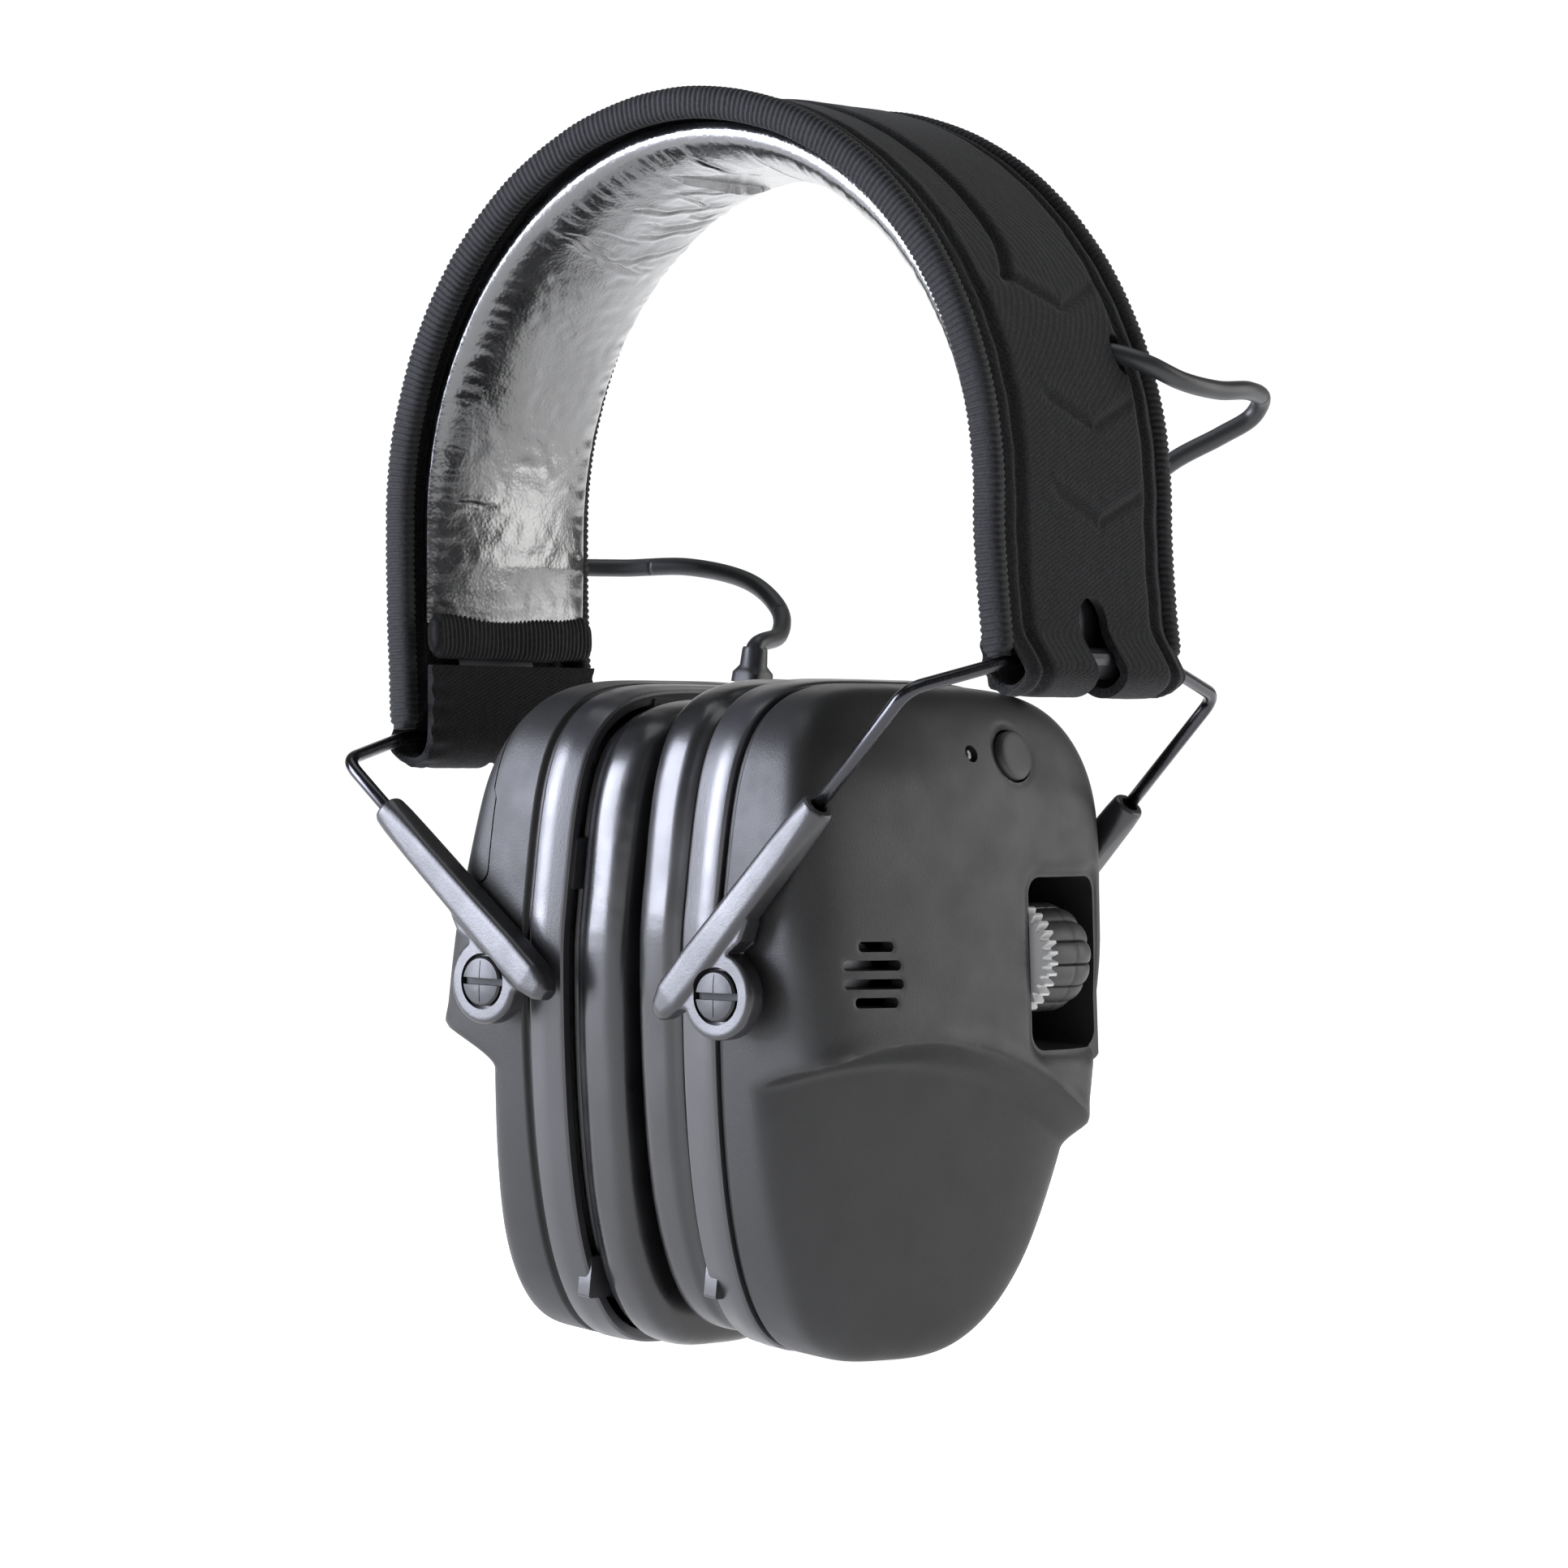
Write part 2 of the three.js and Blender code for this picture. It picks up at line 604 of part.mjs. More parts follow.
const doorZ = 14.4;
const doorX = 4.6;
const shankEnd = cupHalfWidth - 3;
function shell(kind) {
  let body = solid(domed(38, 5, 0, 0, baseX));
  const outer = body;
  const hollow = solid(domed(26, 3, wallThickness, wallThickness + 0.2, baseX - 2, 6));
  body = body.subtract(hollow);
  for (const s of [-1, 1]) {
    // pivot bosses inside both side walls
    const y = s * (cupHalfWidth - 6);
    const [y0, y1] = [y, s * cupHalfWidth].sort((p, q) => p - q);
    body = body.add(solid(rodY(4.2, y0, y1, 0, 0, 20)).intersect(outer));
  }
  // sound slots over the microphone
  const slots = [[9.2, 7.4, 0.4], [6.4, 12, -0.4], [3.6, 12.4, -0.1], [0.8, 9, 0.3]];
  for (const [z, w, shift] of slots) {
    const y = -22.5 + shift;
    body = body.subtract(solid(box(8, 30, y - w / 2, y + w / 2, z - 0.75, z + 0.75)));
  }
  if (kind === 'right') {
    const p = pocket;
    const wall = 1.8;
    const block = box(p.floor - wall, 40, p.y0 - wall, p.y1 + wall, p.z0 - wall, p.z1 + wall);
    body = body.add(solid(block).intersect(outer));
    body = body.subtract(solid(box(p.floor, 60, p.y0, p.y1, p.z0, p.z1)));
    body = body.subtract(solid(rodY(2 + gap, p.y0 - 5, p.y0 + 1, wheelX, wheelZ, 20)));
    body = body.subtract(solid(tiltedRod(buttonRadius + 0.35, ...buttonAt, -6, 6)));
    body = body.subtract(solid(tiltedRod(1.45, ...lensAt, -6, 6, 16)));
    // jack socket swelling at the lower rear
    const jackY = 0.81 * cupHalfWidth;
    const jack = solid(new THREE.SphereGeometry(6.2, 14, 10).translate(7, jackY, -38.5));
    const keep = solid(box(baseX, 40, -60, 60, -80, 80));
    body = body.add(jack.intersect(keep).subtract(hollow));
    const bore = new THREE.CylinderGeometry(1.9, 1.9, 18, 16).rotateX(rad(-52))
      .translate(7, jackY + 3.5, -42.5);
    body = body.subtract(solid(bore));
  } else {
    body = body.subtract(solid(box(doorX, 60, -60, 60, doorZ, 90)));
  }
  for (const s of [-1, 1]) {
    const [y0, y1] = [s * (shankEnd - gap), s * 60].sort((p, q) => p - q);
    body = body.subtract(solid(rodY(2 + gap, y0, y1, 0, 0, 20)));
  }
  return surface(body);
}

function batteryDoor() {
  const hollow = solid(domed(26, 3, wallThickness, wallThickness + 0.2, baseX - 2, 6));
  const whole = solid(domed(38, 5, 0, 0, baseX)).subtract(hollow);
  return surface(whole.intersect(solid(box(doorX + gap, 60, -60, 60, doorZ + gap, 90))));
}

function volumeWheel() {
  const y0 = wheelY0;
  const profile = [[0, y0 - 7.4], [2, y0 - 7.4], [2, y0], [wheelRadius, y0], [wheelRadius, y0 + 2],
    [wheelRadius - 0.9, y0 + 2.6], [wheelRadius - 0.5, y0 + 6], [wheelRadius - 1, y0 + 11],
    [wheelRadius - 2.8, y0 + 14.4], [wheelRadius - 6, y0 + 16.2], [0, y0 + 16.4]];
  const points = profile.map(([r, y]) => new THREE.Vector2(r, y));
  return new THREE.LatheGeometry(points, 24).translate(wheelX, 0, wheelZ);
}

function volumeControl() {
  const y1 = pocket.y0 - 2.4;
  const body = solid(box(wheelX - 6.6, wheelX + 2.8, y1 - 6, y1, wheelZ - 5, wheelZ + 5));
  return surface(body.subtract(solid(rodY(2 + gap, wheelY0 - 7.4 - gap, y1 + 2, wheelX, wheelZ, 20))));
}

function screw(side) {
  // slotted shoulder screw: head in the arm's eye, shank into the shell boss
  const inY = shankEnd;
  const headIn = armOut - 1.9 + 0.25;
  const headOut = armOut - 0.1;
  const head = solid(rodY(screwHeadRadius, headIn, headOut, 0, 0, 18));
  const body = solid(rodY(2, inY, headIn + 0.2, 0, 0, 14)).add(head);
  const g = surface(body.subtract(solid(box(-6, 6, headOut - 0.8, headOut + 1, -0.55, 0.55))));
  return side > 0 ? g : g.rotateZ(Math.PI);
}

function strainRelief(at, top) {
  const up = V(0, 0, 1);
  const rings = [[0, 3.1], [1.2, 3], [2.4, 2.8], [top, 2.5]];
  const outerPts = rings.map(([h, r]) => {
    const ring = [];
    for (let j = 0; j < 12; j++) {
      const a = 2 * Math.PI * j / 12;
      ring.push(at.clone().addScaledVector(up, h).add(V(r * Math.cos(a), r * Math.sin(a), 0)));
    }
    return ring;
  });
  const hole = new THREE.CylinderGeometry(leadRadius + gap, leadRadius + gap, 40, 12)
    .rotateX(Math.PI / 2).translate(at.x, at.y, at.z);
  return surface(solid(loft(outerPts)).subtract(solid(hole)));
}

// ---- assembly ----
const root = new THREE.Group();
root.name = 'earmuff_hearing_protector';
const frame = new THREE.Group();
frame.name = 'crown_frame';
frame.position.z = -crownZ;
root.add(frame);

add(frame, 'spring_band', spring, 'steel');
add(frame, 'band_pad', pad, 'leather');
add(frame, 'front_binding', edgeBinding(-1), 'binding');
add(frame, 'rear_binding', edgeBinding(1), 'binding', 0.01);
add(frame, 'right_pad_strip', padStrip(padFirst, 1), 'binding', 0.02);
add(frame, 'left_pad_strip', padStrip(padLast, -1), 'binding', 0.03);

const reliefRight = V(5, 22, 47.2);
const reliefLeft = V(1.5, 20, 47.8);
const reliefTop = 4;

function cupSide(name, sx, hinge, lean, pull) {
  const hang = new THREE.Group();
  hang.position.set(hinge[0], 0, hinge[1]);
  hang.rotation.y = sx * rad(lean);
  frame.add(hang);
  add(hang, `${name}_hanger_wire`, hangerWire(), 'wire');
  const slide = new THREE.Group();
  slide.position.z = -hangerDrop - pull;
  hang.add(slide);
  add(slide, `${name}_front_arm`, arm(-1, sx), 'arm');
  add(slide, `${name}_rear_arm`, arm(1, sx), 'arm', 0.01);
  const cup = new THREE.Group();
  cup.position.set(sx * armOffset, 0, -armTop);
  cup.rotation.y = rad(cupTilt) - sx * rad(lean);
  slide.add(cup);
  const put = (part, geometry, material, tint = 0) => {
    add(cup, `${name}_${part}`, sx > 0 ? geometry : mirrored(geometry), material, tint);
  };
  put('front_pivot', screw(-1), 'screw');
  put('rear_pivot', screw(1), 'screw', 0.01);
  put('shell', shell(name), 'shell');
  put('ring', ringBody(36, ringX0, ringX1, 0, ringWall), 'ring');
  put('cushion_plate', plateBody(), 'ring', -0.06);
  put('cushion', cushionBody(), 'cushion');
  put('foam_liner', slab(24, ringWall + 3.2, plateX1 + gap, plateX1 + gap + 2.4), 'foam');
  const speakerX = plateX1 + gap + 2.4 + gap;
  put('speaker', rodX(14, speakerX, speakerX + 3.6, 0, 2), 'steel', -0.2);
  const microphoneX = faceX(-22.2, 5) - wallThickness - 2.3;
  put('microphone', rodX(4.4, microphoneX - 3.4, microphoneX, -22.2, 5, 16), 'steel', -0.1);
  const relief = sx > 0 ? reliefRight : reliefLeft;
  put('strain_relief', strainRelief(relief, reliefTop), 'rubber');
  return cup;
}

const rightCup = cupSide('right', 1, rightHinge, rightLean, rightPull);
const leftCup = cupSide('left', -1, leftHinge, leftLean, leftPull);

add(rightCup, 'volume_wheel', volumeWheel(), 'rubber');
add(rightCup, 'volume_control', volumeControl(), 'steel', -0.15);
add(rightCup, 'mode_button', tiltedRod(buttonRadius, ...buttonAt, -4.2, 0.35), 'rubber', 0.01);
add(rightCup, 'power_light', tiltedRod(1.15, ...lensAt, -3.4, -0.5, 16), 'cell');
add(rightCup, 'circuit_board', box(4.2, 5.8, -14, 8, 16, 33), 'board');
add(rightCup, 'jack_socket', box(1, 6.8, 13, 22.6, -36, -28.6), 'steel', -0.2);

add(leftCup, 'battery_door', mirrored(batteryDoor()), 'shell', 0.01);
const cellRadius = 5.15;
const cellX = 3.4;
const cellY = 1.8;
const cells = [20.4, 30.8];
cells.forEach((z, i) => {
  const flip = i ? -1 : 1;
  const tip = solid(rodY(1.9, 21, 22.2, cellX, z, 16));
  const body = solid(rodY(cellRadius, -22.2, 21.2, cellX, z, 20)).add(tip);
  const g = surface(body);
  if (flip < 0) g.rotateX(Math.PI).translate(0, 0, 2 * z);
  g.translate(0, cellY, 0);
  add(leftCup, `battery_${i + 1}`, mirrored(g), 'cell', 0.02 * i);
});
const trayIn = 23.2;
const trayOut = 24.6;
const tray = solid(box(-2.6, 5, cellY - trayOut, cellY + trayOut, 15, 36.8))
  .subtract(solid(box(-1.9, 20, cellY - trayIn, cellY + trayIn, 14, 40)));
add(leftCup, 'battery_tray', mirrored(surface(tray)), 'ring', -0.04);
for (const [name, s] of [['front_contact', -1], ['rear_contact', 1]]) {
  const y = [cellY + s * 22.4, cellY + s * 22.9].sort((p, q) => p - q);
  add(leftCup, name, mirrored(box(0.6, 4.8, y[0], y[1], 17, 35)), 'brass', 0.02 * s);
}

// speaker lead: one length from cup to cup, through the band between cover and pad
root.updateMatrixWorld(true);
const toFrame = (group, p) => frame.worldToLocal(group.localToWorld(p.clone()));
const rise = [0.3, 2, 3.8, 5.4];
const rightRise = rise.map((h) => toFrame(rightCup, V(reliefRight.x, reliefRight.y, reliefRight.z + h)));
const leftRise = rise.map((h) => toFrame(leftCup, V(-reliefLeft.x, reliefLeft.y, reliefLeft.z + h)));
leftRise.reverse();
const inBand = [];
for (let i = 0; i < arch.length; i++) {
  const p = arch[i].clone().addScaledVector(inward[i], leadDepth).setY(slitY);
  const past = (p.x > 0 && p.z < rightSlit.z + 5) || (p.x < 0 && p.z < leftSlit.z + 5);
  if (!past) inBand.push(p);
}
const from = (p, list) => list.map(([x, y, z]) => p.clone().add(V(x, y, z)));
const leadPath = [
  ...rightRise,
  ...from(rightRise[3], [[3.4, 5, 13.2], [9.9, 10, 23.2]]),
  ...from(rightSlit, [[-6.9, 24.4, -17.5], [-1.4, 30.4, -13.1], [2.1, 34, -10.1], [4.7, 33, -7.5]]),
  ...from(rightSlit, [[6.7, 26.9, -6.5], [7.3, 17.4, -6.9], [6.7, 8.4, -5.9], [4.7, 2.8, -3.7]]),
  ...inBand,
  ...from(leftSlit, [[-2.8, 4, -2.2], [-3.2, 11.4, -4.6], [1.8, 19.9, -5]]),
  ...from(leftRise[0], [[-29.4, 17.6, 14.6], [-15.4, 17.4, 11.6], [-6.8, 14.6, 6.6], [-2.4, 9, 2.4]]),
  ...leftRise,
];
const leadPoints = spline(leadPath, 70);
add(frame, 'speaker_lead', tube(leadPoints, leadRadius, 6), 'rubber');
for (const exit of [rightSlit, leftSlit]) {
  const near = leadPoints.filter((p) => p.distanceTo(exit) < 16);
  cover = cover.subtract(solid(tube(near, leadRadius + 2 * gap, 8)));
}
add(frame, 'band_cover', surface(cover), 'knit');

export default root;
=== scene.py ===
import json
import math
import random

import bpy
import bmesh
from mathutils import Matrix, Vector, noise


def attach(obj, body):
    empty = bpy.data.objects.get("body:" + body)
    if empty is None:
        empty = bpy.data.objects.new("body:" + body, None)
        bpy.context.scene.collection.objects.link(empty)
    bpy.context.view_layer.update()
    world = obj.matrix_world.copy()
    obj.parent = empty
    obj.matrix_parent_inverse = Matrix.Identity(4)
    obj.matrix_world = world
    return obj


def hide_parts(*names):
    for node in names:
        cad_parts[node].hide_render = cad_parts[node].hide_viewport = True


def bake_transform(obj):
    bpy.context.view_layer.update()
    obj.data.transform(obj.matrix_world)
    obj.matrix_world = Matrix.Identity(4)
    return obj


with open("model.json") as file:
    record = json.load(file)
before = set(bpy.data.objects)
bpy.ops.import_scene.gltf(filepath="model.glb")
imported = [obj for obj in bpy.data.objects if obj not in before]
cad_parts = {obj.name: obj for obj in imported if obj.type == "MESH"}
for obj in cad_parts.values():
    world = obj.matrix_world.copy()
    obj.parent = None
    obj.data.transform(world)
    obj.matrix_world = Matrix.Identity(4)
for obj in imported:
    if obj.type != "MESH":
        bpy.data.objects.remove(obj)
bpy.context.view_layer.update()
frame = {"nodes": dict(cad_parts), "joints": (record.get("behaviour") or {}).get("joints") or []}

print("frame loaded")

mm = 0.001
crownHeight = 128.65                      # pivot level to the crown rest, mm
jointAt = {j["name"]: Vector(j["pos_m"]) / mm for j in frame["joints"] if "pos_m" in j}
tilt = math.radians(6.8)


# camera and light
camera = bpy.data.objects.new("camera", bpy.data.cameras.new("camera"))
bpy.context.scene.collection.objects.link(camera)
camera.location = (0.57553, -0.69193, -0.09645)
camera.rotation_euler = (math.radians(90), 0, math.radians(39.6))
camera.data.lens = 129.97
camera.data.sensor_width = 36
bpy.context.scene.camera = camera
bpy.context.scene.view_settings.view_transform = "Standard"

studio = {
    "leftPanel": (46.0, (0.82, 0.85, 1.0)),
    "rightPanel": (8.6, (1.0, 0.99, 0.98)),
    "topPanel": (4.0, (0.94, 0.97, 1.0)),
    "frontPanel": (0.4, (1.0, 1.0, 1.0)),
    "worldGrey": 0.14,
    "floorGlow": 0.92,
}
studioMiddle = Vector((0, 0, -0.09))      # what the lamps point at, m
brightWay = (-0.637, 0.770, 0)            # the way the camera looks, where room and floor are bright


def panel(name, place, size, power, tint):
    data = bpy.data.lights.new(name, "AREA")
    data.shape = "RECTANGLE"
    data.size, data.size_y = size
    data.energy = power
    data.color = tint
    lamp = bpy.data.objects.new(name, data)
    bpy.context.scene.collection.objects.link(lamp)
    lamp.location = place
    lamp.rotation_mode = "QUATERNION"
    lamp.rotation_quaternion = (studioMiddle - Vector(place)).to_track_quat("-Z", "Y")


panel("leftPanel", (-0.80, -0.95, 0.05), (0.55, 1.1), *studio["leftPanel"])
panel("rightPanel", (0.72, 0.90, -0.02), (0.55, 1.3), *studio["rightPanel"])
panel("topPanel", (0.05, 0.05, 1.0), (0.9, 0.9), *studio["topPanel"])
panel("frontPanel", (1.2, -0.7, 0.5), (0.6, 0.6), *studio["frontPanel"])


# node helpers for the finishes
def setInputs(node, values):
    for key, value in values.items():
        node.inputs[key].default_value = value


def newFinish(name, colour, roughness, metallic=0.0, specular=0.5, coat=0.0, coatRough=0.1):
    mat = bpy.data.materials.new(name)
    mat.use_nodes = True
    shader = mat.node_tree.nodes["Principled BSDF"]
    setInputs(shader, {
        "Base Color": (*colour, 1), "Roughness": roughness, "Metallic": metallic,
        "Specular IOR Level": specular, "Coat Weight": coat, "Coat Roughness": coatRough})
    return mat, mat.node_tree, shader


def spot(tree):
    return tree.nodes.new("ShaderNodeTexCoord").outputs["Object"]


def grain(tree, scale, detail=2.0, rough=0.5, where=None):
    tex = tree.nodes.new("ShaderNodeTexNoise")
    setInputs(tex, {"Scale": scale, "Detail": detail, "Roughness": rough})
    tree.links.new(where or spot(tree), tex.inputs["Vector"])
    return tex.outputs["Fac"]


def cells(tree, scale, where):
    tex = tree.nodes.new("ShaderNodeTexVoronoi")
    tex.inputs["Scale"].default_value = scale
    tree.links.new(where, tex.inputs["Vector"])
    return tex.outputs["Distance"]


def spread(tree, value, low, high, outLow, outHigh):
    node = tree.nodes.new("ShaderNodeMapRange")
    setInputs(node, {"From Min": low, "From Max": high, "To Min": outLow, "To Max": outHigh})
    tree.links.new(value, node.inputs["Value"])
    return node.outputs["Result"]


def tintBetween(tree, value, first, second):
    node = tree.nodes.new("ShaderNodeMix")
    node.data_type = "RGBA"
    node.inputs[6].default_value = (*first, 1)
    node.inputs[7].default_value = (*second, 1)
    tree.links.new(value, node.inputs[0])
    return node.outputs[2]


def vectorStep(tree, operation, value, fixed=None):
    node = tree.nodes.new("ShaderNodeVectorMath")
    node.operation = operation
    if fixed:
        node.inputs[1].default_value = fixed
    tree.links.new(value, node.inputs[0])
    return node.outputs["Value" if operation == "DOT_PRODUCT" else "Vector"]


def raised(tree, shader, value, height, before=None):
    node = tree.nodes.new("ShaderNodeBump")
    setInputs(node, {"Distance": height, "Strength": 1.0})
    tree.links.new(value, node.inputs["Height"])
    if before:
        tree.links.new(before, node.inputs["Normal"])
    tree.links.new(node.outputs["Normal"], shader.inputs["Normal"])
    return node.outputs["Normal"]


# the room is white along brightWay and grey elsewhere, so dark gloss keeps some depth
world = bpy.data.worlds.new("studioRoom")
bpy.context.scene.world = world
world.use_nodes = True
roomTree = world.node_tree
roomWay = roomTree.nodes.new("ShaderNodeTexCoord").outputs["Generated"]
roomAlong = vectorStep(roomTree, "DOT_PRODUCT", roomWay, brightWay)
roomTone = spread(roomTree, roomAlong, 0.75, 0.965, studio["worldGrey"], 1.08)
roomTree.links.new(roomTone, roomTree.nodes["Background"].inputs["Color"])


def mouldedFinish(name, colour, lighter, roughness, grainSize=3600, height=0.00002, specular=0.5, coat=0.0):
    # moulded plastic or rubber: faint cloudy tone, fine pebble
    mat, tree, shader = newFinish(name, colour, roughness, specular=specular, coat=coat, coatRough=0.28)
    cloud = grain(tree, 55, 3, 0.6)
    tone = tintBetween(tree, spread(tree, cloud, 0.3, 0.7, 0, 1), colour, lighter)
    tree.links.new(tone, shader.inputs["Base Color"])
    wear = spread(tree, grain(tree, 140, 4), 0.3, 0.7, roughness - 0.05, roughness + 0.06)
    tree.links.new(wear, shader.inputs["Roughness"])
    raised(tree, shader, grain(tree, grainSize, 2, 0.6), height)
    return mat


def knitFinish():
    # fine twill: one slanted set of short ribs and a fuzzy sheen
    mat, tree, shader = newFinish("coverKnit", (0.0075, 0.0077, 0.0083), 0.93, specular=0.18)
    setInputs(shader, {"Sheen Weight": 0.10, "Sheen Roughness": 0.45})
    where = spot(tree)
    slant = tree.nodes.new("ShaderNodeMapping")
    slant.inputs["Rotation"].default_value = (0.6, 0.35, 0.5)
    tree.links.new(where, slant.inputs["Vector"])
    ribs = tree.nodes.new("ShaderNodeTexWave")
    setInputs(ribs, {"Scale": 930, "Distortion": 0.8, "Detail": 1.5, "Detail Scale": 3})
    tree.links.new(slant.outputs["Vector"], ribs.inputs["Vector"])
    fuzz = grain(tree, 2600, 3, 0.7, where)
    lint = spread(tree, fuzz, 0.42, 0.75, 0, 1)
    speck = tintBetween(tree, lint, (0.005, 0.0051, 0.0055), (0.020, 0.0205, 0.022))
    tree.links.new(speck, shader.inputs["Base Color"])
    first = raised(tree, shader, ribs.outputs["Fac"], 0.00005)
    raised(tree, shader, fuzz, 0.00013, first)
    return mat


def tapeFinish():
    mat, tree, shader = newFinish("ribbedTape", (0.012, 0.0122, 0.013), 0.66, specular=0.22)
    setInputs(shader, {"Sheen Weight": 0.10, "Sheen Roughness": 0.4})
    thread = grain(tree, 1900, 3, 0.65)
    lint = spread(tree, thread, 0.35, 0.7, 0, 1)
    tone = tintBetween(tree, lint, (0.006, 0.0062, 0.0068), (0.016, 0.0165, 0.018))
    tree.links.new(tone, shader.inputs["Base Color"])
    raised(tree, shader, thread, 0.00008)
    return mat


def leatherFinish(name, colour, roughness, coat, pebble):
    mat, tree, shader = newFinish(name, colour, roughness, specular=0.5, coat=coat, coatRough=0.2)
    where = spot(tree)
    patch = grain(tree, 90, 4, 0.6, where)
    wear = spread(tree, patch, 0.3, 0.7, roughness - 0.08, roughness + 0.10)
    tree.links.new(wear, shader.inputs["Roughness"])
    lighter = tuple(c * 1.5 for c in colour)
    tone = tintBetween(tree, spread(tree, patch, 0.35, 0.7, 0, 1), colour, lighter)
    tree.links.new(tone, shader.inputs["Base Color"])
    first = raised(tree, shader, cells(tree, 1500, where), pebble)
    raised(tree, shader, grain(tree, 520, 4, 0.6, where), pebble * 1.6, first)
    return mat


def steelFinish(name, colour, roughness):
    mat, tree, shader = newFinish(name, colour, roughness, metallic=1.0)
    stretch = tree.nodes.new("ShaderNodeMapping")
    stretch.inputs["Scale"].default_value = (1, 18, 1)
    tree.links.new(spot(tree), stretch.inputs["Vector"])
    scratch = grain(tree, 400, 3, 0.6, stretch.outputs["Vector"])
    wear = spread(tree, scratch, 0.3, 0.7, roughness - 0.06, roughness + 0.1)
    tree.links.new(wear, shader.inputs["Roughness"])
    raised(tree, shader, scratch, 0.00001)
    return mat


shellFinish = mouldedFinish(
    "softTouchShell", (0.016, 0.016, 0.016), (0.020, 0.020, 0.020), 0.44, 3200, 0.00003, 0.36)
ringFinish = mouldedFinish(
    "ringSatin", (0.016, 0.016, 0.018), (0.021, 0.021, 0.024), 0.33, 2600, 0.000016, 0.85)
armFinish = mouldedFinish(
    "armSatin", (0.013, 0.013, 0.015), (0.017, 0.017, 0.019), 0.34, 2400, 0.00002, 0.65)
screwFinish = mouldedFinish(
    "screwPlastic", (0.008, 0.008, 0.009), (0.012, 0.012, 0.013), 0.40, 1800, 0.00002)
leadFinish = mouldedFinish(
    "leadRubber", (0.016, 0.017, 0.018), (0.021, 0.022, 0.023), 0.42, 2800, 0.00002)
knobFinish = mouldedFinish(
    "knobRubber", (0.020, 0.020, 0.020), (0.026, 0.026, 0.026), 0.5, 2600, 0.00003)
toothFinish = mouldedFinish(
    "toothedRim", (0.42, 0.42, 0.42), (0.55, 0.55, 0.55), 0.38, 1500, 0.00002)
darkFinish = mouldedFinish(
    "innerDark", (0.008, 0.008, 0.009), (0.012, 0.012, 0.013), 0.6)
boardFinish = mouldedFinish("boardMask", (0.012, 0.07, 0.03), (0.02, 0.10, 0.045), 0.4)
cellFinish = mouldedFinish(
    "cellSleeve", (0.05, 0.09, 0.14), (0.07, 0.11, 0.17), 0.3, coat=0.4)
foamFinish = mouldedFinish(
    "openFoam", (0.020, 0.020, 0.022), (0.05, 0.05, 0.052), 0.95, 900, 0.0003)
lensFinish = mouldedFinish(
    "lensGloss", (0.006, 0.007, 0.008), (0.01, 0.012, 0.014), 0.12, coat=0.6)
cushionFinish = leatherFinish("cushionSkin", (0.006, 0.006, 0.0065), 0.33, 0.35, 0.000008)
padFinish = leatherFinish("padLeather", (0.006, 0.0062, 0.0068), 0.25, 1.0, 0.00005)
padFinish.node_tree.nodes["Principled BSDF"].inputs["IOR"].default_value = 2.0
wireFinish = steelFinish("blackWire", (0.055, 0.055, 0.06), 0.22)
springFinish = steelFinish("springSteel", (0.05, 0.05, 0.055), 0.4)
brassFinish = steelFinish("contactBrass", (0.55, 0.40, 0.16), 0.3)
canFinish = steelFinish("pressedCan", (0.20, 0.20, 0.21), 0.4)
coverFinish = knitFinish()
bindingFinish = tapeFinish()

floorMaterial, floorTree, floorShader = newFinish("paleFloor", (0.86, 0.86, 0.86), 0.6, specular=0.1)
floorShader.inputs["Emission Color"].default_value = (1, 1, 1, 1)
# the floor glows along one broad wedge and is plain pale paint elsewhere
floorWay = vectorStep(floorTree, "SUBTRACT", spot(floorTree), (1.27, -1.54, -0.187))
floorWay = vectorStep(floorTree, "NORMALIZE", floorWay)
floorAlong = vectorStep(floorTree, "DOT_PRODUCT", floorWay, brightWay)
floorGlow = spread(floorTree, floorAlong, 0.35, 0.985, 0.10, studio["floorGlow"])
floorTree.links.new(floorGlow, floorShader.inputs["Emission Strength"])
print("finishes made")


# mesh helpers, all in millimetres
def pieceFrom(name, points, faces, finish, place=None):
    # points in mm; place is a matrix in mm
    mesh = bpy.data.meshes.new(name)
    if place is not None:
        points = [place @ Vector(p) for p in points]
    mesh.from_pydata([Vector(p) * mm for p in points], [], faces)
    mesh.validate()
    piece = bpy.data.objects.new(name, mesh)
    bpy.context.scene.collection.objects.link(piece)
    mesh.materials.append(finish)
    mesh.shade_smooth()
    return piece


def loftMesh(rings, loop=False, capEnds=True):
    n = len(rings[0])
    points = [p for ring in rings for p in ring]
    faces = []
    spans = len(rings) if loop else len(rings) - 1
    for i in range(spans):
        a, b = i * n, ((i + 1) % len(rings)) * n
        for j in range(n):
            k = (j + 1) % n
            faces.append((a + j, a + k, b + k, b + j))
    if capEnds and not loop:
        for start, turn in ((0, True), ((len(rings) - 1) * n, False)):
            middle = len(points)
            points.append(sum((Vector(points[start + j]) for j in range(n)), Vector()) / n)
            for j in range(n):
                k = (j + 1) % n
                faces.append((middle, start + k, start + j) if turn else (middle, start + j, start + k))
    return points, faces


def sweep(line, section):
    # rings of section(i), offsets across and up, carried along the line without twist
    rings = []
    across = None
    count = len(line)
    for i, p in enumerate(line):
        before = line[max(0, i - 1)]
        after = line[min(count - 1, i + 1)]
        along = (after - before).normalized()
        if across is None:
            across = Vector((0, 1, 0)).cross(along)
            if across.length < 0.1:
                across = Vector((1, 0, 0)).cross(along)
        across = (across - along * across.dot(along)).normalized()
        up = along.cross(across)
        rings.append([p + across * a + up * b for a, b in section(i)])
    return rings


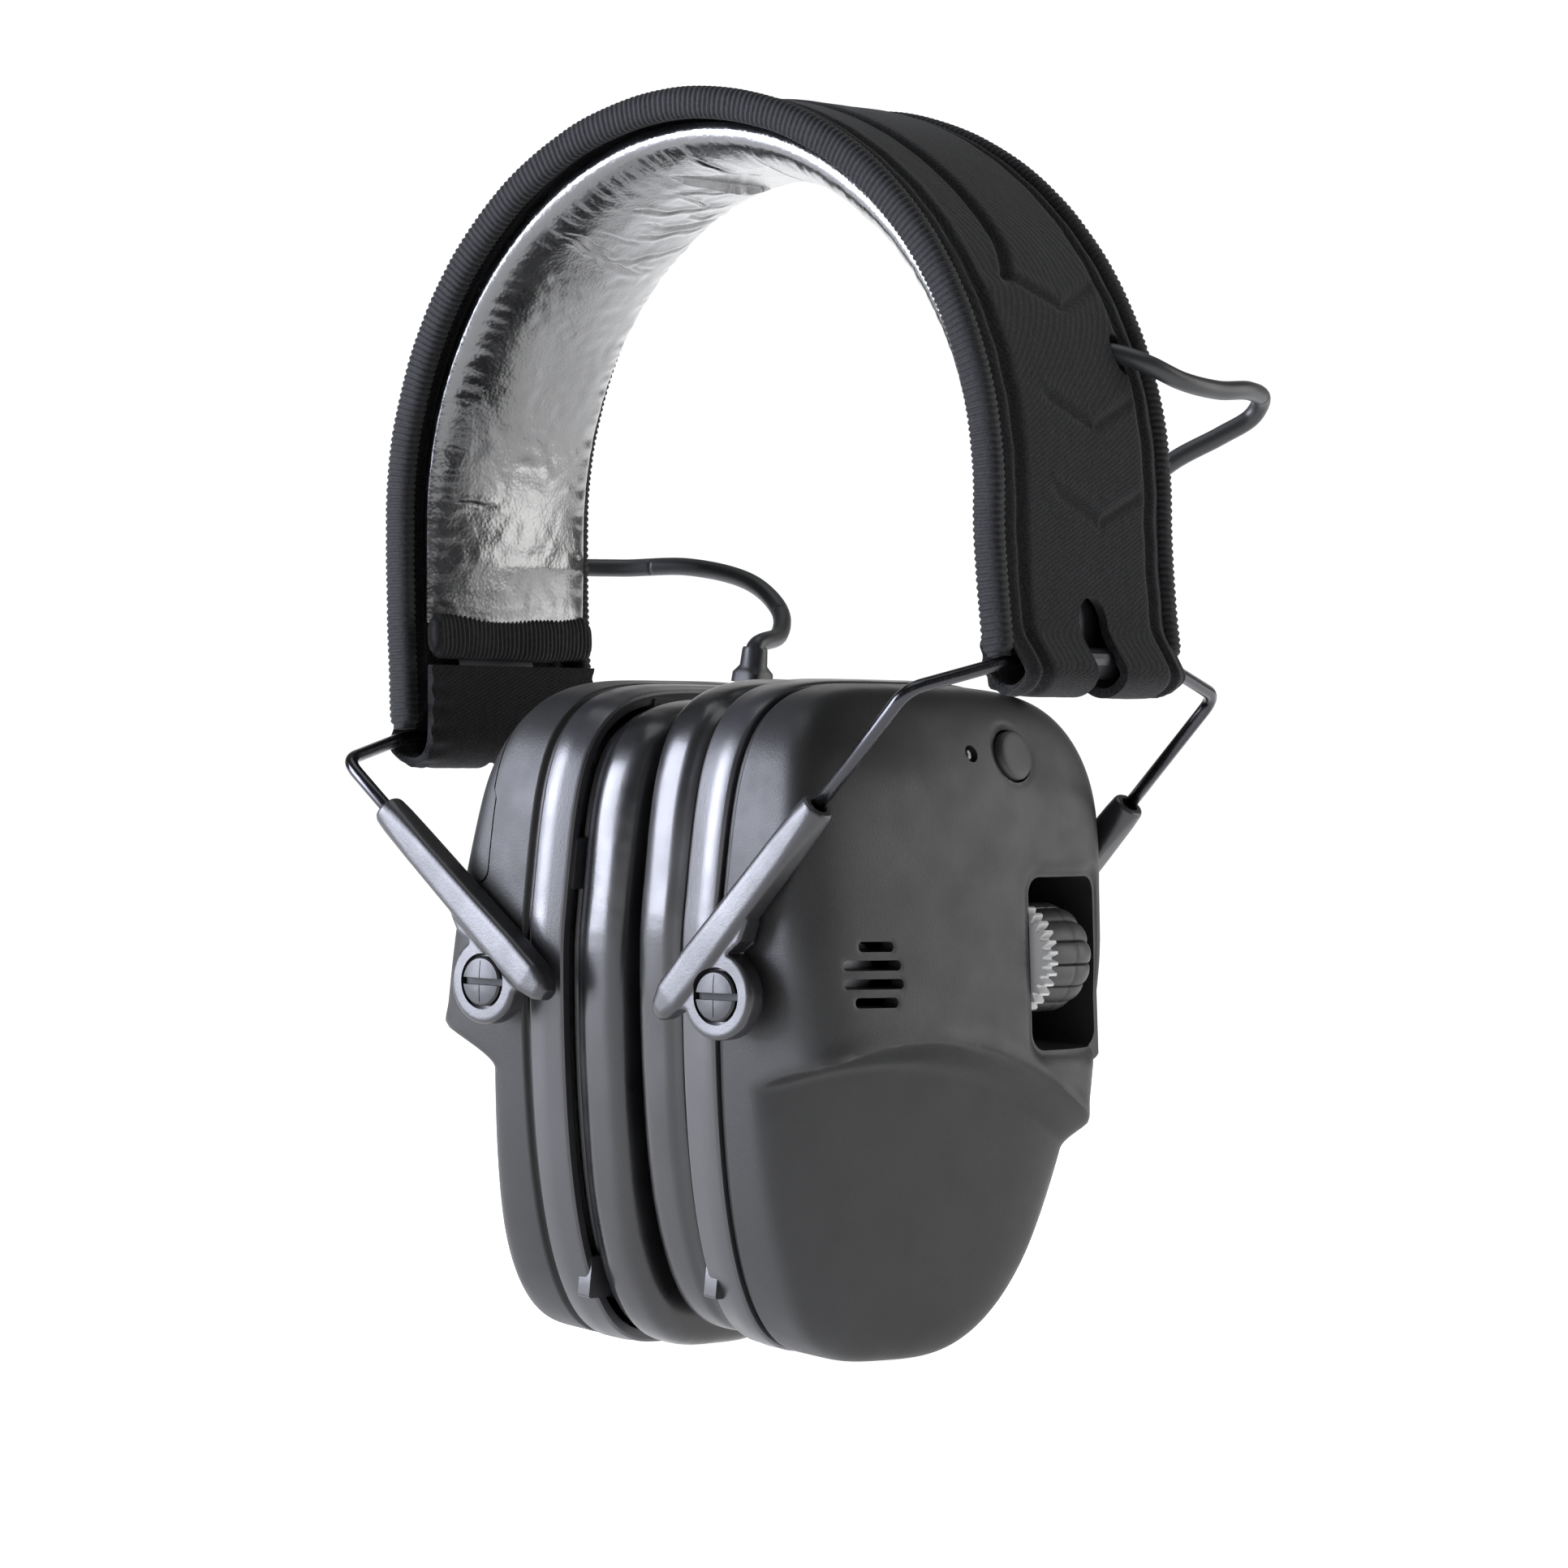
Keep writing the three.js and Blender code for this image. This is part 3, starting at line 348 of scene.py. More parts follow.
def circle(radius, sides):
    turns = [2 * math.pi * j / sides for j in range(sides)]
    return [(radius * math.cos(a), radius * math.sin(a)) for a in turns]


def softLine(corners, step):
    # centripetal spline through the given points, evenly stepped
    pts = [Vector(c) for c in corners]
    ends = [pts[0] * 2 - pts[1]] + pts + [pts[-1] * 2 - pts[-2]]
    fine = []
    for i in range(len(pts) - 1):
        p0, p1, p2, p3 = ends[i:i + 4]
        t1 = (p1 - p0).length ** 0.5
        t2 = t1 + (p2 - p1).length ** 0.5
        t3 = t2 + (p3 - p2).length ** 0.5
        for k in range(24):
            t = t1 + (t2 - t1) * k / 24
            a1 = p0 * ((t1 - t) / t1) + p1 * (t / t1)
            a2 = p1 * ((t2 - t) / (t2 - t1)) + p2 * ((t - t1) / (t2 - t1))
            a3 = p2 * ((t3 - t) / (t3 - t2)) + p3 * ((t - t2) / (t3 - t2))
            b1 = a1 * ((t2 - t) / t2) + a2 * (t / t2)
            b2 = a2 * ((t3 - t) / (t3 - t1)) + a3 * ((t - t1) / (t3 - t1))
            fine.append(b1 * ((t2 - t) / (t2 - t1)) + b2 * ((t - t1) / (t2 - t1)))
    fine.append(pts[-1])
    return evenly(fine, step)


def evenly(line, step):
    reach = [0.0]
    for a, b in zip(line, line[1:]):
        reach.append(reach[-1] + (b - a).length)
    count = max(2, round(reach[-1] / step))
    out, k = [], 0
    for i in range(count + 1):
        want = reach[-1] * i / count
        while k < len(line) - 2 and reach[k + 1] < want:
            k += 1
        t = (want - reach[k]) / ((reach[k + 1] - reach[k]) or 1)
        out.append(line[k].lerp(line[k + 1], min(1, max(0, t))))
    return out


def roundedCorners(corners, radius, steps):
    pts = [Vector(c) for c in corners]
    out = [pts[0]]
    for i in range(1, len(pts) - 1):
        a, b = pts[i - 1] - pts[i], pts[i + 1] - pts[i]
        r = min(radius, a.length / 2, b.length / 2)
        p, q = pts[i] + a.normalized() * r, pts[i] + b.normalized() * r
        for k in range(steps + 1):
            t = k / steps
            out.append(p * (1 - t) ** 2 + pts[i] * (2 * t * (1 - t)) + q * t * t)
    out.append(pts[-1])
    return out


def lineLength(line):
    return sum((b - a).length for a, b in zip(line, line[1:]))


def ease(t):
    c = min(1.0, max(0.0, t))
    return c * c * (3 - 2 * c)


def bell(away, width):
    return math.exp(-(away / width) ** 2)


def applyAll(piece):
    # bake the modifiers into the mesh
    bpy.context.view_layer.update()
    made = bpy.data.meshes.new_from_object(piece.evaluated_get(bpy.context.evaluated_depsgraph_get()))
    old = piece.data
    piece.modifiers.clear()
    piece.data = made
    bpy.data.meshes.remove(old)


def carve(piece, tool, kind="DIFFERENCE"):
    mod = piece.modifiers.new("carve", "BOOLEAN")
    mod.operation = kind
    mod.solver = "EXACT"
    mod.object = tool
    applyAll(piece)
    bpy.data.objects.remove(tool)


def sharpShade(piece, degrees):
    piece.data.shade_smooth()
    bm = bmesh.new()
    bm.from_mesh(piece.data)
    limit = math.radians(degrees)
    for edge in bm.edges:
        if len(edge.link_faces) == 2:
            edge.smooth = edge.calc_face_angle(0) < limit
    bm.to_mesh(piece.data)
    bm.free()


def turnOut(piece):
    bm = bmesh.new()
    bm.from_mesh(piece.data)
    bmesh.ops.recalc_face_normals(bm, faces=bm.faces)
    bm.to_mesh(piece.data)
    bm.free()
    return piece


def closedForm(name, rings, finish, place=None, loop=False):
    # rings joined into one closed skin, faces outward
    return turnOut(pieceFrom(name, *loftMesh(rings, loop), finish, place))


def frameOf(origin, xAxis, zAxis):
    x, z = Vector(xAxis), Vector(zAxis)
    y = Vector((0, 1, 0))
    m = Matrix.Identity(4)
    for r in range(3):
        m[r][0], m[r][1], m[r][2], m[r][3] = x[r], y[r], z[r], origin[r]
    return m


cupFrame = {}
for side, sx in (("right", 1), ("left", -1)):
    outward = Vector((math.cos(tilt), 0, -math.sin(tilt))) * sx
    upward = (math.sin(tilt), 0, math.cos(tilt))
    cupFrame[side] = frameOf(jointAt[side + "_cup_swivel"], outward, upward)
lean = {"right": math.radians(44.2), "left": -math.radians(49.9)}
pull = {"right": 23.8, "left": 12.1}
hangerFrame = {}
for side, a in lean.items():
    outward = (math.cos(a), 0, -math.sin(a))
    upward = (math.sin(a), 0, math.cos(a))
    hangerFrame[side] = frameOf(jointAt[side + "_hanger_hinge"], outward, upward)


# speaker lead, one free length each side
# routes from the slit in the cover to the cup, mm above the pivot level
leadRoutes = {
    "radius": 1.5,
    "right": [(54.8, 13.6, 99.3), (58.9, 14.2, 98.4), (62.6, 16.4, 96.8), (64.6, 22, 94.6),
              (65.2, 31, 93.6), (64.6, 40.5, 94), (62.6, 46.6, 93), (60, 47.6, 90.4),
              (56.5, 44, 87.4), (51, 38, 83), (44.5, 32, 75), (38, 27, 65), (34.6, 22, 51.8),
              (34, 22, 46.6)],
    "left": [(-59.5, 13.6, 75.6), (-63, 14.6, 73.4), (-65.6, 17.6, 71.8), (-66, 25, 69.4),
             (-61, 33.5, 69), (-49, 37.6, 69), (-35, 37.4, 66), (-26.4, 34.6, 61),
             (-22, 29, 56.8), (-19.6, 20, 54.4), (-20.3, 20, 49.3)],
}


def speakerLead(side):
    route = [Vector((x, y, z - crownHeight)) for x, y, z in leadRoutes[side]]
    line = softLine(route, 0.6)
    # three parts along the lead
    cuts = [0, int(len(line) * 0.37), int(len(line) * 0.74), len(line) - 1]
    made = []
    for i in range(3):
        part = line[cuts[i]:cuts[i + 1] + 1]
        points, faces = loftMesh(sweep(part, lambda k: circle(leadRoutes["radius"], 20)))
        piece = pieceFrom(f"{side}_lead_{i + 1}", points, faces, leadFinish)
        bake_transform(piece)
        made.append((piece, part))
    for i in (0, 1):
        piece, part = made[i]
    return made


rightLead = speakerLead("right")
speakerLead("left")
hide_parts("speaker_lead")
print("leads laid")


# hangers, arms and screws
hanger = {"wire": 1.05, "halfSpan": 39.2, "loopHalf": 20.0, "drop": 6.2, "leg": 38.0, "bend": 3.2}
arm = {"inY": 37.1, "outY": 41.5, "top": 33.8, "offset": 6.6, "boss": 6.7, "head": 3.9,
       "bore": 2.3, "socket": 1.45, "voxel": 0.26}
screwTurn = {"right": -6, "left": 5}      # how far each driver slot stands from level, degrees
endName = {-1: "front", 1: "rear"}


def hangerWire(side):
    z = -hanger["drop"]
    span, loop, end = hanger["halfSpan"], hanger["loopHalf"], z - hanger["leg"]
    corners = [(0, -span, end), (0, -span, z), (0, -loop, 0), (0, loop, 0), (0, span, z), (0, span, end)]
    line = roundedCorners(corners, hanger["bend"], 10)
    points, faces = loftMesh(sweep(line, lambda k: circle(hanger["wire"], 24)))
    piece = pieceFrom(side + "_wire", points, faces, wireFinish, hangerFrame[side])
    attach(piece, side + "_hanger")
    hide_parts(side + "_hanger_wire")


def roundedSection(halfX, halfY, power, sides=32):
    out = []
    for j in range(sides):
        c, s = math.cos(2 * math.pi * j / sides), math.sin(2 * math.pi * j / sides)
        out.append((halfX * math.copysign(abs(c) ** power, c), halfY * math.copysign(abs(s) ** power, s)))
    return out


def armBody(side, end, sx):
    # bar, then the eye with its web, fused and softened like one moulding
    place = hangerFrame[side] @ Matrix.Translation((0, 0, -hanger["drop"] - pull[side]))
    midY = end * (arm["inY"] + arm["outY"]) / 2
    barMid = end * hanger["halfSpan"]
    stations = [(0, 2.35, 2.35, 1.0), (-0.5, 2.6, 2.5, 0.95), (-3, 2.6, 2.45, 0.7),
                (-10, 2.5, 2.4, 0.42), (-22, 2.65, 2.4, 0.36), (-34, 2.9, 2.35, 0.36),
                (-40.5, 2.8, 2.3, 0.42), (-43.4, 2.0, 2.0, 0.6), (-44.7, 1.1, 1.4, 0.7)]
    rings = []
    for z, wx, wy, power in stations:
        rings.append([(x, barMid + y, z) for x, y in roundedSection(wx, wy, power)])
    bar = closedForm(f"{side}_{endName[end]}_bar", rings, armFinish, place)
    # eye outline with concave shoulders down to the bar
    cx, cz, r = sx * arm["offset"], -arm["top"], arm["boss"]
    outline = []
    for k in range(41):
        a = math.radians(-118 + 236 * k / 40)
        outline.append((cx + sx * r * math.cos(a), cz + r * math.sin(a)))
    outline += [(sx * 4.1, cz + 9.2), (sx * 2.9, cz + 12.2), (0, cz + 14), (0, cz - 8.6),
                (sx * 1.8, cz - 7.9)]
    depth = (arm["outY"] - arm["inY"] - 0.7) / 2
    eyeMid = midY - end * 0.35
    levels = [(-depth, 0.5), (-depth + 0.25, 0.15), (-depth + 0.6, 0),
              (depth - 0.6, 0), (depth - 0.25, 0.15), (depth, 0.5)]
    middle = (sum(p[0] for p in outline) / len(outline), sum(p[1] for p in outline) / len(outline))
    rings = []
    for y, inset in levels:
        ring = []
        for x, z in outline:
            d = math.hypot(x - middle[0], z - middle[1])
            ring.append((x + (middle[0] - x) * inset / d, eyeMid + y, z + (middle[1] - z) * inset / d))
        rings.append(ring)
    eye = closedForm("eye", rings, armFinish, place)
    carve(bar, eye, "UNION")
    remesh = bar.modifiers.new("fuse", "REMESH")
    remesh.mode = "VOXEL"
    remesh.voxel_size = arm["voxel"] * mm
    soften = bar.modifiers.new("soften", "SMOOTH")
    soften.factor = 0.5
    soften.iterations = 3
    applyAll(bar)
    # counterbore for the screw head, bore through, blind socket for the wire leg
    def drill(radius, y0, y1):
        rings = [[(cx + x, y, cz + z) for x, z in circle(radius, 48)] for y in (y0, y1)]
        carve(bar, closedForm("drill", rings, armFinish, place))
    drill(arm["head"] + 0.5, end * (arm["outY"] - 2.1), end * 60)
    drill(arm["bore"], end * 30, end * 60)
    rings = [[(x, barMid + y, z) for x, y in circle(arm["socket"], 32)] for z in (4, -31.5)]
    carve(bar, closedForm("drill", rings, armFinish, place))
    sharpShade(bar, 40)
    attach(bar, side + "_arms")
    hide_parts(f"{side}_{endName[end]}_arm")


def pivotScrew(side, end):
    # domed head with a driver slot, a fine cross line and a plain shank
    top = arm["outY"] - 0.15
    profile = [(1.7, 33.4), (2.0, 33.7), (2.0, top - 1.7), (3.75, top - 1.7), (3.9, top - 1.5),
               (3.9, top - 0.55), (3.6, top - 0.2), (2.6, top - 0.03), (1.2, top + 0.05)]
    rings = [[(x, end * y, z) for x, z in circle(r, 64)] for r, y in profile]
    place = cupFrame[side]
    screw = closedForm(f"{side}_{endName[end]}_screw", rings, screwFinish, place)
    turn = Matrix.Rotation(math.radians(screwTurn[side]), 4, "Y")
    for half, deep, angle in ((0.55, 1.35, 0), (0.08, 0.2, 90)):
        spin = turn @ Matrix.Rotation(math.radians(angle), 4, "Y")
        reach = 6 if angle == 0 else 3.3
        corners = [[(-reach, y, -half), (reach, y, -half), (reach, y, half), (-reach, y, half)]
                   for y in (end * (top - deep), end * (top + 2))]
        carve(screw, closedForm("slotTool", corners, screwFinish, place @ spin))
    screw.data.materials.append(darkFinish)
    back = place.inverted()
    for f in screw.data.polygons:
        at = back @ (f.center / mm)
        if math.hypot(at.x, at.z) < 3.72 and top - 1.45 < abs(at.y) < top - 0.3:
            f.material_index = 1
    sharpShade(screw, 35)
    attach(screw, side + "_cup")
    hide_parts(f"{side}_{endName[end]}_pivot")


for side, sx in (("right", 1), ("left", -1)):
    hangerWire(side)
    for end in (-1, 1):
        armBody(side, end, sx)
        pivotScrew(side, end)
print("hangers, arms and screws done")


# cups
cup = {
    "halfWidth": 36.4, "up": 37.6, "down": 68.0, "midZ": 10.0, "depth": 17.3, "wall": 2.2,
    "baseX": -4.6, "ringX0": -11.7, "ringX1": -4.9, "contactX": -22.9, "cushionX1": -12.69,
    "wheelX": 11.2, "wheelZ": 6.0, "wheelY": 14.8, "wheelR": 9.4,
    "button": (12.4, 38.2), "lens": (2.4, 38.4), "faceLean": math.radians(20),
    "doorX": 4.6, "doorZ": 14.4,
    "pocket": (23.3, 6.0, 9.3, 14.0, 3.0),    # across, up, half sizes and corner, for the wheel
    "tub": (11.1, 15.8, 4.0),                 # half sizes and corner of the box behind the pocket
    "slotY": -22.5,                           # middle of the microphone slots
}


def cupOutline(count, inset=0.0):
    w, up, down, mid = cup["halfWidth"], cup["up"], cup["down"], cup["midZ"]
    fine = []
    for i in range(1440):
        phi = 2 * math.pi * i / 1440
        c, s = math.cos(phi), math.sin(phi)
        if s >= 0:
            fine.append(Vector((w * math.copysign(abs(c) ** (2 / 4.4), c), mid + up * s ** (2 / 4.4))))
        else:
            t = abs(s) ** (2 / 3.4)
            taper = 1 - 0.3 * t * t / (t + 0.08)
            fine.append(Vector((w * taper * math.copysign(abs(c) ** (2 / 3.4), c), mid - down * t)))
    ring = evenly(fine + [fine[0]], 0.5)[:-1]
    reach = evenly(ring + [ring[0]], lineLength(ring + [ring[0]]) / count)[:count]
    out = []
    for i, p in enumerate(reach):
        d = (reach[(i + 1) % count] - reach[i - 1]).normalized()
        out.append((p.x - inset * d.y, p.y + inset * d.x))
    return out


def browZ(y):
    return -5.5 - 0.0085 * (y + 11) ** 2


def faceX(y, z):
    upper = cup["depth"] + 0.06 * y - 0.16 * z + 1.2 * (1 - (y / 36) ** 2) - 0.012 * max(0, z - 28) ** 2
    lower = 12 + 0.21 * y + 1.6 * (1 - (y / 30) ** 2) - 0.006 * max(0, -38 - z) ** 2
    drop = min(1.0, max(0.0, (browZ(y) + 0.4 - z) / 5.8))
    t = ease(drop ** 0.75)
    upper += 0.32 * bell(z - browZ(y) - 1.0, 1.7)
    return upper * (1 - t) + lower * t


def roundBoxGap(y, z, cy, cz, hy, hz, r):
    # signed distance to a rounded rectangle in the face plane
    qy, qz = abs(y - cy) - hy + r, abs(z - cz) - hz + r
    return math.hypot(max(qy, 0), max(qz, 0)) + min(max(qy, qz), 0) - r


# up, width and shift across of the slots in front of each microphone
micSlots = [(9.2, 7.4, 0.4), (6.4, 12.0, -0.4), (3.6, 12.4, -0.1), (0.8, 9.0, 0.3)]


def faceDip(side, y, z):
    # soft shoulders round what is let into the face
    dip = 0.0
    if side == "right":
        d = roundBoxGap(y, z, *cup["pocket"])
        dip += 1.1 * max(0, 1 - max(d, 0) / 2.4) ** 2
        d = math.hypot(y - cup["button"][0], (z - cup["button"][1]) * 0.97) - 4.3
        dip += 0.25 * max(0, 1 - abs(d) / 0.9) ** 2
    for zs, w, shift in micSlots:
        d = roundBoxGap(y, z, cup["slotY"] + shift, zs, w / 2, 0.8, 0.8)
        dip += 0.12 * max(0, 1 - max(d, 0) / 0.7) ** 2
    return dip


def domeRings(count, rows, inset, drop, side=None, power=7.0, fold=0.0):
    edge = cupOutline(count, inset)
    low = cup["baseX"] + 1.5
    rings = [[(cup["baseX"], y, z) for y, z in edge]]
    if side:
        # a shadow gap runs between the shell and its ring
        rings = []
        for x, step in ((0, 0.85), (0.75, 0.85), (0.95, 0.65), (1.05, 0.2), (1.25, 0.02)):
            rings.append([(cup["baseX"] + x, y, z) for y, z in cupOutline(count, inset + step)])
    turnRows = rows // 3
    for i in range(rows + 1):
        # rows crowd at the turn, then cross the face evenly
        if i < turnRows:
            r = math.sin((math.pi / 2) * (1 - 0.55 * i / turnRows)) ** (2 / power)
        else:
            start = math.sin((math.pi / 2) * 0.45) ** (2 / power)
            r = start + (0.012 - start) * (i - turnRows) / (rows - turnRows)
        h = max(0.0, 1 - r ** power) ** (1 / power)
        ring = []
        for ey, ez in edge:
            y, z = ey * r, -2 + (ez + 2) * r
            top = faceX(y, z) - drop - fold * bell(browZ(y) - 4 - z, 7)
            if side:
                top -= faceDip(side, y, z)
            ring.append((low + (top - low) * h, y, z))
        rings.append(ring)
    return rings


def skinMesh(name, side, finish, place):
    # outer and inner face joined round the rim
    count = 420
    outer = domeRings(count, 132, 0, 0, side, 8.2)
    inner = domeRings(count, 48, cup["wall"], cup["wall"] + 0.2, None, 6.0, 2.6)
    if side == "right":
        # swelling for the jack at the lower rear
        centre, reach = Vector((7.4, 28.9, -38.2)), 6.6
        for ring in outer:
            for j, p in enumerate(ring):
                v = Vector(p) - centre
                d = v.length
                if d < reach + 3 and p[0] > cup["baseX"] + 0.5:
                    blend = max(0, min(1, 0.5 + 0.5 * (d - reach) / 2.4))
                    far = reach * (1 - blend) + d * blend + 2.4 * blend * (1 - blend)
                    # the socket's mouth, a shallow round dimple
                    off = math.degrees(v.angle(Vector((0.15, 0.72, -0.62))))
                    far -= 1.9 * ease((19 - off) / 3)
                    ring[j] = tuple(centre + v * (far / d))
    points, faces = loftMesh(list(reversed(inner)) + outer)
    return turnOut(pieceFrom(name, points, faces, finish, place))


def prism(name, outline, y0, y1, place):
    rings = [[(x, y, z) for x, z in outline] for y in (y0, y1)]
    return closedForm(name, rings, shellFinish, place)


def roundBox(cy, cz, hy, hz, r, sides, share=1.0):
    # rounded rectangle, corner by corner
    out = []
    for qy, qz, start in ((1, 1, 0), (-1, 1, 90), (-1, -1, 180), (1, -1, 270)):
        for k in range(sides + 1):
            a = math.radians(start + 90 * k / sides)
            out.append((cy + (qy * (hy - r) + r * math.cos(a)) * share,
                        cz + (qz * (hz - r) + r * math.sin(a)) * share))
    return out


def ovalTool(name, cy, cz, hy, hz, r, x0, x1, place, floorShare=1.0, sides=10):
    # rounded rectangle through the face, smaller at its floor when floorShare is under 1
    rings = []
    for x, share in ((x0, floorShare), (x1, 1.0)):
        rings.append([(x, y, z) for y, z in roundBox(cy, cz, hy, hz, r, sides, share)])
    return closedForm(name, rings, shellFinish, place)


def leaningRod(name, profile, y, z, place, finish, sides=64):
    # rod square to the leaning face; profile is radius and height pairs
    n = Vector((math.cos(cup["faceLean"]), 0, math.sin(cup["faceLean"])))
    u = Vector((-math.sin(cup["faceLean"]), 0, math.cos(cup["faceLean"])))
    base = Vector((faceX(y, z), y, z))
    rings = []
    for r, h in profile:
        centre = base + n * h
        rings.append([centre + u * b + Vector((0, a, 0)) for a, b in circle(r, sides)])
    return closedForm(name, rings, finish, place)


def joinTools(tools):
    bm = bmesh.new()
    for tool in tools:
        bm.from_mesh(tool.data)
    first = tools[0]
    bm.to_mesh(first.data)
    bm.free()
    for tool in tools[1:]:
        bpy.data.objects.remove(tool)
    return first


def commonTools(place):
    tools = []
    for zs, w, shift in micSlots:
        tools.append(ovalTool("slotTool", cup["slotY"] + shift, zs, w / 2, 0.78, 0.77, 9, 30, place))
    for end in (-1, 1):
        rings = [[(x, y, z) for x, z in circle(2.3, 40)] for y in (end * 33.1, end * 60)]
        tools.append(closedForm("boreTool", rings, shellFinish, place))
    return tools


def rightShell():
    place = cupFrame["right"]
    shell = skinMesh("right_cup_shell", "right", shellFinish, place)
    # tub behind the wheel, its rim kept inside the wall
    edge = roundBox(*cup["pocket"][:2], *cup["tub"], 8)
    tub = [[(faceX(y, z) - 2.6, min(y, 33.2), z) for y, z in edge],
           [(cup["wheelX"] - cup["wheelR"] - 2.5, min(y, 33.2), z) for y, z in edge]]
    carve(shell, closedForm("tub", tub, shellFinish, place), "UNION")
    tools = commonTools(place)
    floorX = cup["wheelX"] - cup["wheelR"] - 0.6
    tools.append(ovalTool("pocketTool", *cup["pocket"], floorX, 40, place, 0.93))
    tools.append(leaningRod("buttonTool", [(4.35, -6), (4.35, 6)], *cup["button"], place, shellFinish))
    tools.append(leaningRod("lensTool", [(1.4, -6), (1.4, 6)], *cup["lens"], place, shellFinish, 32))
    carve(shell, joinTools(tools))
    sharpShade(shell, 38)
    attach(shell, "right_cup")
    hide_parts("right_shell")


def doorOutline(grow):
    # edge of the battery door seen along the cup, with its small step and rounded corner
    x, z = cup["doorX"] + grow, cup["doorZ"] + grow
    out = [(x + 0.7, 95), (x + 0.7, z + 15.2), (x, z + 13.8)]
    for k in range(9):
        a = math.radians(180 + 90 * k / 8)
        out.append((x + 2.4 + 2.4 * math.cos(a), z + 2.4 + 2.4 * math.sin(a)))
    return out + [(60, z), (60, 95)]


def leftShellAndDoor():
    place = cupFrame["left"]
    shell = skinMesh("left_cup_shell", "left", shellFinish, place)
    door = bpy.data.objects.new("left_battery_door", shell.data.copy())
    bpy.context.scene.collection.objects.link(door)
    carve(shell, prism("doorTool", doorOutline(0), -60, 60, place))
    carve(shell, joinTools(commonTools(place)))
    carve(door, prism("doorTool", doorOutline(0.26), -60, 60, place), "INTERSECT")
    for piece, body, node in ((shell, "left_cup", "left_shell"), (door, "battery_cover", "battery_door")):
        sharpShade(piece, 38)
        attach(piece, body)
        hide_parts(node)


rightShell()
leftShellAndDoor()
print("shells done")


def betweenOutlines(section, outer, inner):
    # one ring of points for each step round the cup; share 0 lies on outer, 1 on inner
    rings = []
    for (y, z), (iy, iz) in zip(outer, inner):
        rings.append([(x, y + (iy - y) * s, z + (iz - z) * s) for s, x in section])
    return rings


def ringBand(side):
    # satin band with a broad chamfer towards the cushion
    outer, inner = cupOutline(360, 0), cupOutline(360, 2.0)
    x0, x1 = cup["ringX0"], cup["ringX1"]
    section = [(1.0, x0), (0.32, x0), (0.12, x0 + 0.25), (0.04, x0 + 0.7), (0.0, x0 + 2.7),
               (-0.06, x0 + 3.1), (-0.08, x1 - 0.7), (-0.02, x1 - 0.35), (0.10, x1 - 0.1),
               (0.30, x1), (1.0, x1)]
    rings = betweenOutlines(section, outer, inner)
    piece = closedForm(side + "_ring_band", rings, ringFinish, cupFrame[side], loop=True)
    sharpShade(piece, 30)
    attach(piece, side + "_cup")
    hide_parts(side + "_ring")


def cushionPlate(side):
    # carrier plate, its rim stepped, held to the ring by clips
    rim, hole = cupOutline(300, 3.6), cupOutline(300, 15)
    x0, x1 = -12.3, -9.5
    section = [(1.0, x0), (0.1, x0), (0.02, x0 + 0.3), (0.0, x0 + 0.9), (0.12, x0 + 1.3),
               (0.12, x1 - 0.2), (0.2, x1), (1.0, x1)]
    rings = betweenOutlines(section, rim, hole)
    piece = closedForm(side + "_carrier_plate", rings, ringFinish, cupFrame[side], loop=True)
    clips = [(-17, 44, 2.6, 2.0), (0, 44.4, 2.6, 2.0), (17, 44, 2.6, 2.0), (-20, -46, 2.6, 3.4),
             (0, -54, 2.6, 2), (20, -46, 2.6, 3.4), (-33, 20, 2, 4), (33, 20, 2, 4)]
    for y, z, hy, hz in clips:
        tab = ovalTool("clip", y, z, hy, hz, 0.5, x0 + 0.2, x1 - 0.2, cupFrame[side], sides=4)
        carve(piece, tab, "UNION")
    sharpShade(piece, 30)
    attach(piece, side + "_cup")
    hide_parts(side + "_cushion_plate")


cushion = {"count": 480, "rows": 64, "outInset": 1.1, "inInset": 17.0, "pucker": 0.16, "span": 15.5}


def sealCushion(side):
    # moulded skin over foam: round outside, flat where the two cushions touch, creased at the inner lip
    count, rows = cushion["count"], cushion["rows"]
    rim, lip = cupOutline(count, cushion["outInset"]), cupOutline(count, cushion["inInset"])
    x0, x1 = cup["contactX"] + 0.02, cup["cushionX1"]
    depth = x1 - x0
    rings = []
    seed = 3.0 if side == "right" else 11.0
    for i in range(count):
        (y, z), (iy, iz) = rim[i], lip[i]
        ring = []
        for k in range(rows):
            a = 2 * math.pi * k / rows
            c, s = math.cos(a), math.sin(a)
            across = 0.5 - 0.5 * math.copysign(abs(c) ** 0.42, c)
            height = 0.5 + 0.5 * math.copysign(abs(s) ** 0.62, s)
            # thin welded seam round the back edge, a shallow waist beside it
            seam = bell(height - 0.93, 0.03) * (1 if across < 0.5 else 0)
            waist = bell(height - 0.80, 0.07) * (1 if across < 0.5 else 0)
            where = Vector((y * 0.05, z * 0.05, height * 1.6 + seed))
            swell = cushion["pucker"] * noise.noise(where * 1.4) * (0.3 + abs(c))
            fine = 0.05 * noise.noise(Vector((y * 0.5, z * 0.5, seed))) * bell(height - 0.12, 0.12)
            puff = swell + fine + 0.25 * seam - 0.30 * waist
            share = across - puff / cushion["span"] * (1 if across < 0.5 else -0.6)
            ring.append((x0 + depth * height, y + (iy - y) * share, z + (iz - z) * share))
        rings.append(ring)
    piece = closedForm(side + "_seal_cushion", rings, cushionFinish, cupFrame[side], loop=True)
    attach(piece, side + "_cup")
    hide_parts(side + "_cushion")


sleeveFoot = {"right": (5, 22, 47.0), "left": (1.5, 20, 47.6)}


